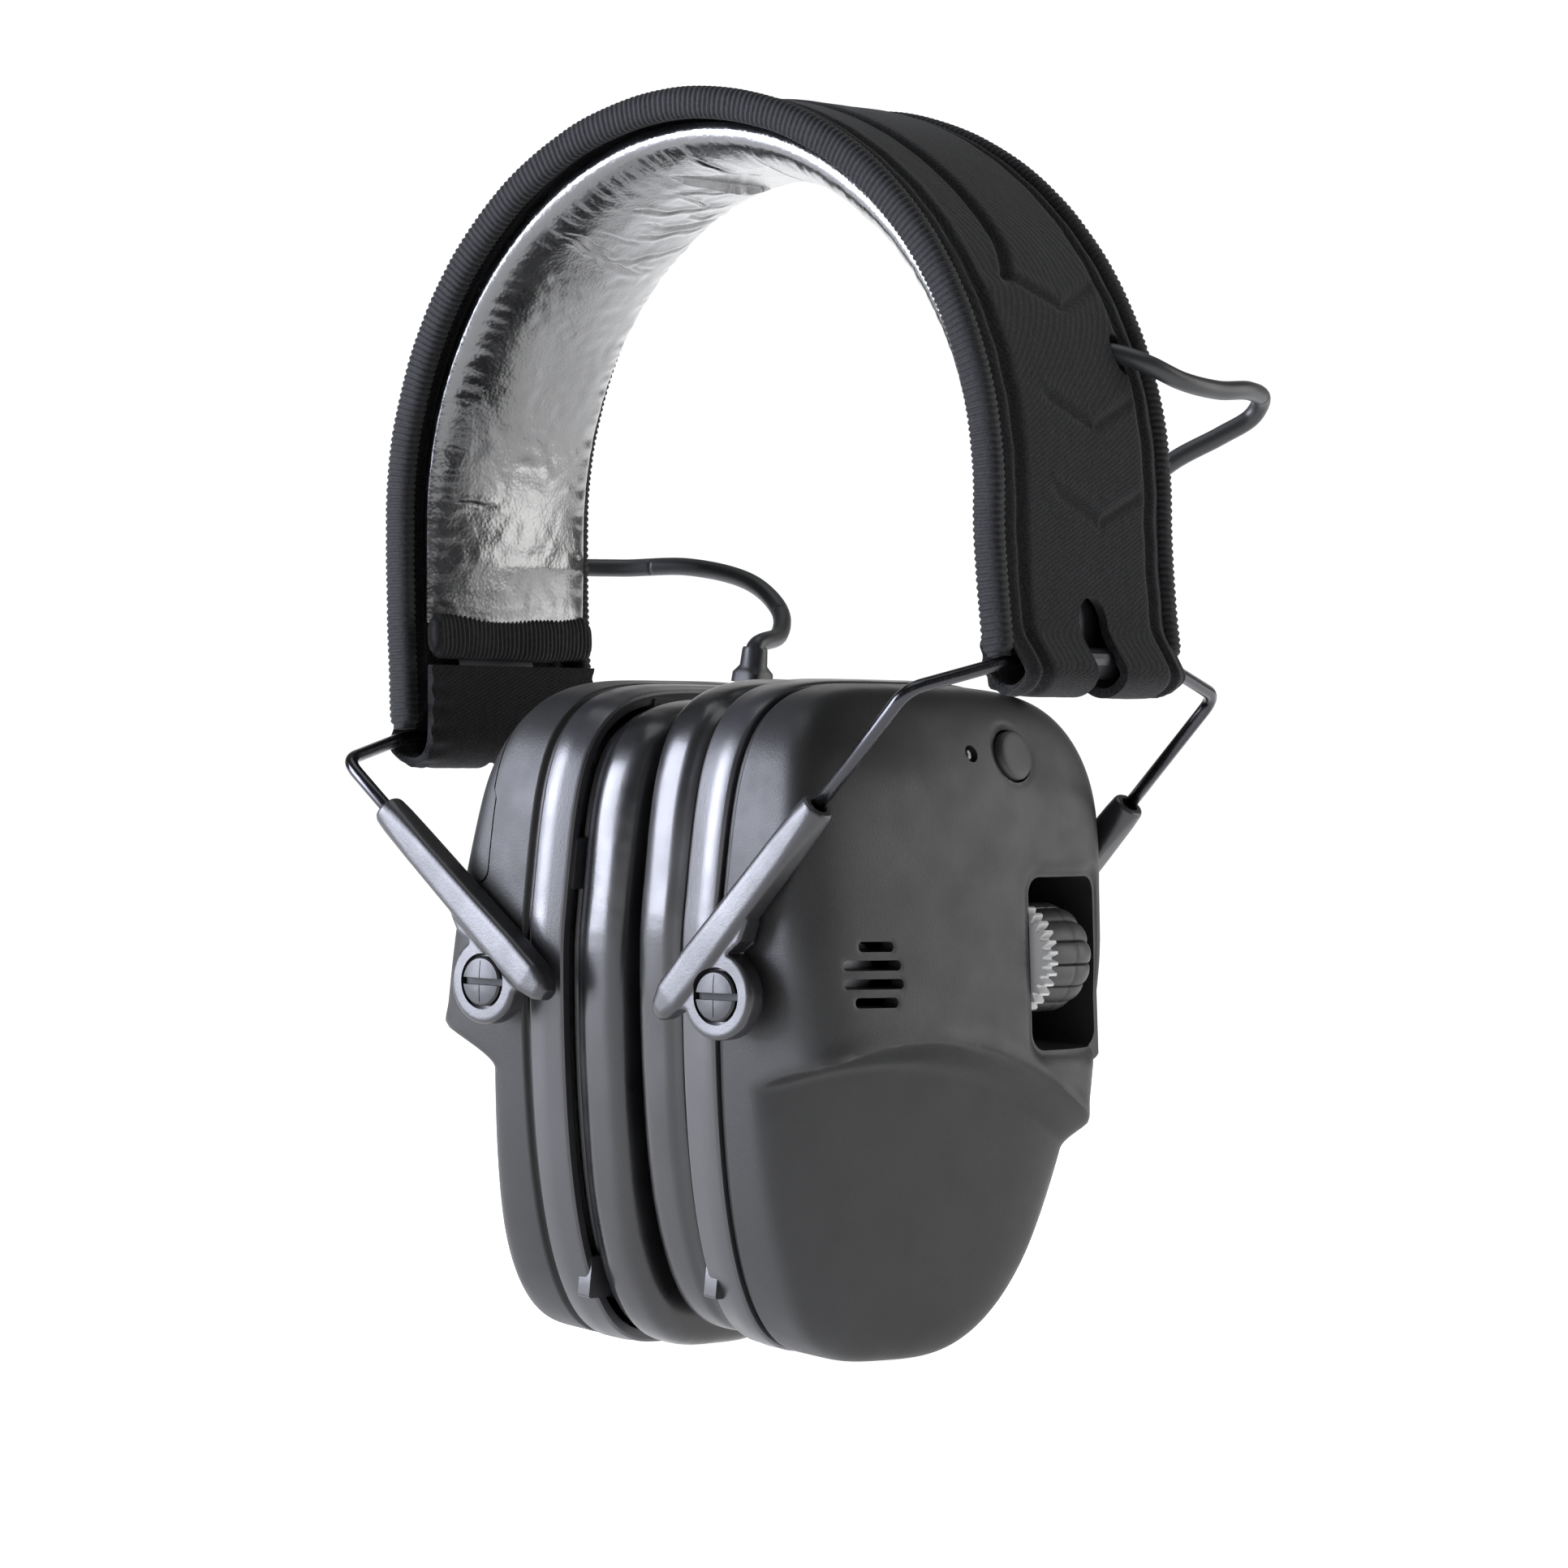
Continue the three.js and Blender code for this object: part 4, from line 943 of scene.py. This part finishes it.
def strainRelief(side):
    # stepped rubber sleeve with a square foot where the lead enters the cup
    at = Vector(sleeveFoot[side])
    stages = [(0, 2.9, 0.5), (1.6, 2.8, 0.5), (2.2, 2.5, 0.7), (2.8, 2.2, 0.9), (5.4, 2.1, 1.0),
              (5.8, 1.95, 1.0), (5.8, 1.6, 1.0), (0.2, 1.6, 1.0)]
    rings = [[at + Vector((x, y, h)) for x, y in roundedSection(r, r, power, 40)] for h, r, power in stages]
    piece = closedForm(side + "_lead_sleeve", rings, leadFinish, cupFrame[side], loop=True)
    sharpShade(piece, 35)
    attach(piece, side + "_cup")
    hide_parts(side + "_strain_relief")


for side in ("right", "left"):
    ringBand(side)
    cushionPlate(side)
    sealCushion(side)
    strainRelief(side)
print("rings, plates and cushions done")


wheel = {"lobes": 14, "teeth": 34, "barrel": 16.0}


def volumeWheel():
    # fluted barrel with a toothed rim at its inner end
    x0, z0, y0, r0 = cup["wheelX"], cup["wheelZ"], cup["wheelY"], cup["wheelR"]
    sides = wheel["lobes"] * 16
    rings = []
    steps = 40
    for k in range(steps + 1):
        t = k / steps
        y = y0 + 2.0 + (wheel["barrel"] - 2.2) * t
        r = 8.75 * max(0.0, 1 - max(0, (t - 0.42) / 0.58) ** 3.2) ** 0.42 * (1 - 0.05 * (1 - t) ** 6)
        r -= 0.16 * bell(t - 0.44, 0.03)
        ring = []
        for j in range(sides):
            a = 2 * math.pi * j / sides
            flute = abs(math.sin(wheel["lobes"] * a / 2)) ** 0.35
            depth = 0.75 * (1 - flute) * ease(r / 5)
            reach = max(r, 0.05) - depth
            ring.append((x0 + reach * math.cos(a), y, z0 + reach * math.sin(a)))
        rings.append(ring)
    points, faces = loftMesh(rings)
    rimFirst = len(faces)
    # toothed rim
    count = wheel["teeth"] * 8
    rimRings = []
    for y, grow in ((y0, -0.25), (y0 + 0.25, 0), (y0 + 2.2, 0), (y0 + 2.5, -0.3)):
        ring = []
        for j in range(count):
            step = j % 8
            r = r0 + grow - (0.0 if step in (1, 2, 3) else 1.15 if step in (5, 6, 7) else 0.6)
            a = 2 * math.pi * j / count
            ring.append((x0 + r * math.cos(a), y, z0 + r * math.sin(a)))
        rimRings.append(ring)
    rimLast = rimFirst + len(loftMesh(rimRings)[1])
    shaft = [[(x0 + x, y, z0 + z) for x, z in circle(2.0, 32)] for y in (y0 - 7.4, y0 + 0.1)]
    for more in (rimRings, shaft):
        offset = len(points)
        newPoints, newFaces = loftMesh(more)
        points += newPoints
        faces += [tuple(i + offset for i in f) for f in newFaces]
    piece = pieceFrom("volume_knob_wheel", points, faces, knobFinish, cupFrame["right"])
    piece.data.materials.append(toothFinish)
    for f in piece.data.polygons:
        if rimFirst <= f.index < rimLast:
            f.material_index = 1
    turnOut(piece)
    sharpShade(piece, 30)
    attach(piece, "volume_knob")
    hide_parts("volume_wheel")


def modeButton():
    cap = [(3.6, -4.0), (3.75, -3.8), (3.95, -1.0), (3.95, 0.0), (3.8, 0.28), (3.5, 0.42),
           (2.6, 0.5), (1.4, 0.54), (0.2, 0.55)]
    piece = leaningRod("mode_button_cap", cap, *cup["button"], cupFrame["right"], knobFinish, 72)
    sharpShade(piece, 50)
    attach(piece, "mode_switch")
    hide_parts("mode_button")


def powerLens():
    cap = [(1.1, -3.4), (1.15, -1.2), (1.0, -0.9), (0.6, -0.75), (0.1, -0.7)]
    piece = leaningRod("power_lens", cap, *cup["lens"], cupFrame["right"], lensFinish, 32)
    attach(piece, "right_cup")
    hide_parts("power_light")


volumeWheel()
modeButton()
powerLens()
print("wheel, button and lens done")


# headband
band = {
    "halfWidth": 20.4, "radiusX": 62.8, "radiusZ": 65.8, "widest": 75.0 - crownHeight, "thick": 1.5,
    "loop": 5.4, "tail": 11.6, "slotHalf": 3.6, "edgeY": 21.3, "ribPitch": 1.05, "ribSteps": 6,
    "ribHeight": 0.17, "grooves": 1.0, "chevrons": (105.0, 86.5, 72.0), "seamY": 16.3,
}
pad = {"halfWidth": 18.9, "under": 5.1, "thick": 7.4, "levelHalf": 10.5, "creases": 42,
       "step": 0.9, "rightFoot": 69.4, "leftFoot": 57.6, "level": -0.02}


def bandLine(step, loops=True):
    # outer face of the band from the right foot over the crown to the left foot
    rh, lh = jointAt["right_hanger_hinge"], jointAt["left_hanger_hinge"]
    wide, mid, high = band["radiusX"], band["widest"], band["radiusZ"]
    line = []
    if loops:
        line.append(Vector((rh.x - band["loop"], 0, rh.z + band["tail"])))
        for k in range(41):
            a = math.radians(180 + 165 * k / 40)
            line.append(Vector((rh.x + band["loop"] * math.cos(a), 0, rh.z + band["loop"] * math.sin(a))))
    start, end = Vector((rh.x + 1.6, 0, rh.z)), Vector((lh.x - 1.6, 0, lh.z))
    for k in range(12 if loops else 0, 60):
        t = k / 60
        x = start.x + (wide - start.x) * math.sin(t * math.pi / 2)
        line.append(Vector((x, 0, start.z + (mid - start.z) * t)))
    for k in range(241):
        a = math.pi * k / 240
        line.append(Vector((wide * math.cos(a), 0, mid + high * math.sin(a))))
    for k in range(59, 10 if loops else -1, -1):
        t = k / 60
        x = end.x + (-wide - end.x) * math.sin(t * math.pi / 2)
        line.append(Vector((x, 0, end.z + (mid - end.z) * t)))
    if loops:
        for k in range(41):
            a = math.radians(195 + 165 * k / 40)
            line.append(Vector((lh.x + band["loop"] * math.cos(a), 0, lh.z + band["loop"] * math.sin(a))))
        line.append(Vector((lh.x + band["loop"], 0, lh.z + band["tail"])))
    line = evenly(line, step)
    for _ in range(8):
        # ease the joins between the arcs
        inner = [(line[i - 1] + line[i] * 2 + line[i + 1]) / 4 for i in range(1, len(line) - 1)]
        line = [line[0]] + inner + [line[-1]]
    return line


def stepsAcross(half, columns):
    return [-half + 2 * half * j / columns for j in range(columns + 1)]


def inwardAt(line):
    out = []
    for i in range(len(line)):
        d = (line[min(len(line) - 1, i + 1)] - line[max(0, i - 1)]).normalized()
        out.append(Vector((-d.z, 0, d.x)))
    return out


def pressedLines(p, n, y):
    # depth of the pressed grooves on the outer face at one point, mm
    if n.x * p.x > 0:
        return 0.0
    z = p.z + crownHeight
    deep = 0.0
    for level in band["chevrons"]:
        along = abs(y - 3)
        if along < 13 and abs(z - level) < 14:
            away = (z - level - 0.42 * along) * 0.92
            fade = ease((12.6 - along) / 3) * ease(along / 0.9 + 0.35)
            deep += 0.52 * bell(away, 0.55) * fade
            deep -= 0.14 * bell(away - 1.7, 1.1) * fade
    # a long pressed channel runs down from the crown and turns into the first chevron
    run = ease((z - band["chevrons"][0] - 2.5) / 3)
    centre = -4.9 - 3.6 * ease((116 - z) / 9)
    deep += 1.35 * run * bell(y - centre, 1.05)
    deep += 0.35 * run * ease((centre - y) / 3) * ease((y + 16) / 3)
    return deep * band["grooves"]


def coverSheet():
    line = bandLine(0.62)
    normals = inwardAt(line)
    half = band["halfWidth"]
    widths = stepsAcross(half, 84)
    rings = []
    total = lineLength(line)
    gone = 0.0
    for i, (p, n) in enumerate(zip(line, normals)):
        gone += (line[i] - line[i - 1]).length if i else 0
        fromEnd = min(gone, total - gone)
        onArch = ease((fromEnd - 17) / 6)
        ring = []
        for y in widths:
            edge = abs(y) - (half - 3.4)
            dip = 1.15 * ease(edge / 3.0) * onArch
            # a stitched ridge beside the tape with a dark gully inside it
            dip += 1.2 * bell(abs(y) - band["seamY"], 1.0) * onArch
            dip += pressedLines(p, n, y)
            where = Vector((p.x * 0.045, y * 0.07, p.z * 0.045))
            dip -= 0.22 * noise.noise(where) * onArch
            dip += 0.035 * noise.noise(where * 9)
            # folded edges flare and pucker round the loop
            flare = (1 - onArch) * ease((abs(y) - 14) / 6)
            dip += flare * 0.28 * math.sin(gone * 1.9 + (2 if y > 0 else 0))
            widen = 1 - 0.035 * (1 - onArch) + 0.006 * math.sin(gone * 0.8 + (1.3 if y > 0 else 0))
            ring.append(p + n * dip + Vector((0, y * widen, 0)))
        for y in reversed(widths):
            edge = abs(y) - (half - 3.4)
            below = band["thick"] + 0.25 * ease(edge / 3.0) * onArch
            below += 0.9 * onArch * bell(abs(y) - band["seamY"], 1.3)
            rounding = 0.35 * ease((abs(y) - half + 0.6) / 0.6)
            widen = 1 - 0.035 * (1 - onArch)
            ring.append(p + n * (below - rounding) + Vector((0, y * widen, 0)))
        rings.append(ring)
    cover = closedForm("cover_sheet", rings, coverFinish)
    for side, hole in (("right", 1), ("left", -1)):
        h = jointAt[side + "_hanger_hinge"]
        r = band["slotHalf"]
        outline = [(-r, h.z - 14), (r, h.z - 14)]
        for k in range(17):
            a = math.pi * k / 16
            outline.append((r * math.cos(a), h.z + 6 + 1.15 * r * math.sin(a)))
        tool = [[(x, y, z) for y, z in outline] for x in (h.x - 3.0 * hole, h.x + 12 * hole)]
        carve(cover, closedForm("loopSlot", tool, coverFinish))
    for side in ("right", "left"):
        a, b = [Vector((x, y, z - crownHeight)) for x, y, z in leadRoutes[side][:2]]
        aim = (b - a).normalized()
        up = Vector((0, 1, 0)).cross(aim).normalized()
        tool = []
        for h in (-3, 9):
            oval = [(1.85 * c, 2.9 * q) for c, q in circle(1, 32)]
            tool.append([a + aim * h + up * q + Vector((0, c, 0)) for c, q in oval])
        carve(cover, closedForm("leadSlit", tool, coverFinish))
    sharpShade(cover, 60)
    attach(cover, "headband")
    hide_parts("band_cover")


def ribbedTape(name, node, end):
    # knitted tape folded over the edge, each rib raised and slightly uneven
    count = band["ribSteps"]
    line = bandLine(band["ribPitch"] / count, loops=False)[count:-count]
    normals = inwardAt(line)
    rings = []
    sides = 26
    for i, (p, n) in enumerate(zip(line, normals)):
        s = i / count
        edge = ease(min(i, len(line) - 1 - i) / 10) * 0.35 + 0.65
        wobble = 0.12 * noise.noise(Vector((s * 0.13, end * 4.0, 0.3)))
        ring = []
        for j in range(sides):
            a = 2 * math.pi * j / sides
            c, q = math.cos(a), math.sin(a)
            slant = 0.10 * q + 0.16 * noise.noise(Vector((s * 0.31, q * 1.5, end * 2.0)))
            wave = 0.5 + 0.5 * math.cos(2 * math.pi * (s + slant))
            rib = band["ribHeight"] * (wave ** 0.6 * 1.6 - 0.9)
            deep = (2.45 + rib) * math.copysign(abs(c) ** 0.8, c) * edge
            out = (1.6 + rib) * math.copysign(abs(q) ** 0.72, q)
            ring.append(p + n * (2.35 + deep + wobble) + Vector((0, end * (band["edgeY"] + out), 0)))
        rings.append(ring)
    piece = closedForm(name, rings, bindingFinish)
    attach(piece, "headband")
    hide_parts(node)


def padLine():
    line = bandLine(pad["step"], loops=False)
    first = next(i for i, p in enumerate(line) if p.z > pad["rightFoot"] - crownHeight)
    last = max(i for i, p in enumerate(line) if p.z > pad["leftFoot"] - crownHeight)
    return line, first, last


def bandPad():
    # leather cushion: crowned across, gathered along both seams, creased hardest over the crown
    line, first, last = padLine()
    normals = inwardAt(line)
    pick = random.Random(7)
    folds = []
    for k in range(pad["creases"]):
        where = pick.choice((pick.gauss(0.5, 0.13), pick.uniform(0.04, 0.96)))
        folds.append((where, pick.uniform(-12, 12), pick.uniform(3, 13), pick.uniform(-0.35, 0.35),
                      pick.uniform(0.16, 0.55), pick.uniform(0.5, 1.1)))
    half = pad["halfWidth"]
    widths = stepsAcross(half, 96)
    rings = []
    count = last - first
    fine = []
    for i in range(first, last):
        for k in range(3):
            t = k / 3
            n = normals[i].lerp(normals[i + 1], t).normalized()
            fine.append((line[i].lerp(line[i + 1], t), n, (i - first + t) / count))
    length = count * pad["step"]
    for p, n, share in fine:
        rise = p.z - band["widest"]
        fromEnd = min(share, 1 - share) * length / 10
        swell = 0.62 + 0.38 * min(1, max(0, (rise + 5) / 60))
        thick = pad["thick"] * swell * min(1, 0.7 + 0.3 * fromEnd)
        arc = share * length
        ring = []
        for y in widths:
            u = abs(y) / half
            crown = max(0.0, 1 - u ** 2.3) ** 0.6
            d = thick * (0.26 + 0.74 * crown)
            # soft billows, then gathers close to the seams
            d += 0.55 * noise.noise(Vector((arc * 0.055, y * 0.075, 2.0))) * crown
            gather = bell(u - 0.86, 0.10)
            d += 0.30 * gather * noise.noise(Vector((arc * 0.55, y * 0.1, 6.0)))
            for where, cy, reach, slope, deep, width in folds:
                waver = 1.3 * noise.noise(Vector((y * 0.22, where * 40, 0)))
                along = arc - where * length - slope * (y - cy) - waver
                if abs(along) < 4 and abs(y - cy) < reach:
                    fade = ease((reach - abs(y - cy)) / (0.6 * reach))
                    d -= deep * bell(along, 0.42 * width) * fade
                    d += 0.45 * deep * bell(abs(along) - 1.15 * width, 0.8 * width) * fade
            ripple = noise.noise(Vector((arc * 0.33, y * 0.13, 4.0)))
            ripple *= noise.noise(Vector((arc * 0.12, y * 0.3, 9.0)))
            d += 0.5 * ripple * crown
            q = p + n * (pad["under"] + d) + Vector((0, y, 0))
            # the underside of the crown rests level
            if abs(q.x) < pad["levelHalf"] and q.z < pad["level"] + 1.2:
                q.z = max(q.z, pad["level"])
            ring.append(q)
        for y in widths[::-2]:
            ring.append(p + n * pad["under"] + Vector((0, y * 0.995, 0)))
        rings.append(ring)
    piece = closedForm("pad_leather", rings, padFinish)
    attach(piece, "headband")
    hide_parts("band_pad")


def footStrip(name, node, atStart, lift):
    # ribbed tape sewn across the foot of the pad
    line, first, last = padLine()
    normals = inwardAt(line)
    i = first if atStart else last
    p, n = line[i], normals[i]
    down = (line[i - 4] - line[i]).normalized() if atStart else (line[i + 4] - line[i]).normalized()
    centre = p + n * (pad["under"] + lift) + down * 2.0
    half = pad["halfWidth"]
    pitch = 1.0
    steps = int(2 * half / pitch * band["ribSteps"])
    rings = []
    for k, y in enumerate(stepsAcross(half, steps)):
        end = 0.72 + 0.28 * ease(min(k, steps - k) / 8)
        ring = []
        for j in range(28):
            a = 2 * math.pi * j / 28
            c, q = math.cos(a), math.sin(a)
            slant = 0.12 * q + 0.25 * noise.noise(Vector((y * 0.3, q, 1)))
            wave = 0.5 + 0.5 * math.cos(2 * math.pi * (y / pitch + slant))
            rib = band["ribHeight"] * (wave ** 0.6 * 1.7 - 0.9)
            thick = (1.45 + rib) * end * math.copysign(abs(c) ** 0.8, c)
            tall = (3.6 + rib) * end * math.copysign(abs(q) ** 0.75, q)
            sag = 0.35 * noise.noise(Vector((y * 0.09, 3.0, 1.0 if atStart else 5.0)))
            ring.append(centre + n * (thick + sag) + down * (tall + sag) + Vector((0, y, 0)))
        rings.append(ring)
    piece = closedForm(name, rings, bindingFinish)
    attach(piece, "headband")
    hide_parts(node)


coverSheet()
print("cover sewn")
ribbedTape("front_tape", "front_binding", -1)
ribbedTape("rear_tape", "rear_binding", 1)
bandPad()
footStrip("right_foot_strip", "right_pad_strip", True, 0.7)
footStrip("left_foot_strip", "left_pad_strip", False, 2.0)
print("pad and tapes sewn")


# what stays inside keeps its own form and gets a finish
insideFinish = {
    "spring_band": springFinish, "foam_liner": foamFinish, "speaker": canFinish, "microphone": canFinish,
    "volume_control": darkFinish, "circuit_board": boardFinish, "jack_socket": darkFinish,
    "battery_tray": darkFinish, "battery_1": cellFinish, "battery_2": cellFinish, "contact": brassFinish,
}
for name, node in frame["nodes"].items():
    if node.type != "MESH":
        continue
    for key, finish in insideFinish.items():
        if key in name:
            node.data.materials.clear()
            node.data.materials.append(finish)
print("inner pieces finished")


floor = {"radius": 6000.0, "level": -187.0, "rings": 24, "sides": 96}


def studioFloor():
    rings = []
    for k in range(1, floor["rings"]):
        r = floor["radius"] * (k / floor["rings"]) ** 2
        rings.append([(x, y, floor["level"]) for x, y in circle(r, floor["sides"])])
    points, faces = loftMesh(rings, capEnds=False)
    middle = len(points)
    points.append((0, 0, floor["level"]))
    faces += [(middle, j, (j + 1) % floor["sides"]) for j in range(floor["sides"])]
    piece = turnOut(pieceFrom("studio_floor", points, faces, floorMaterial))


studioFloor()
print("floor laid")
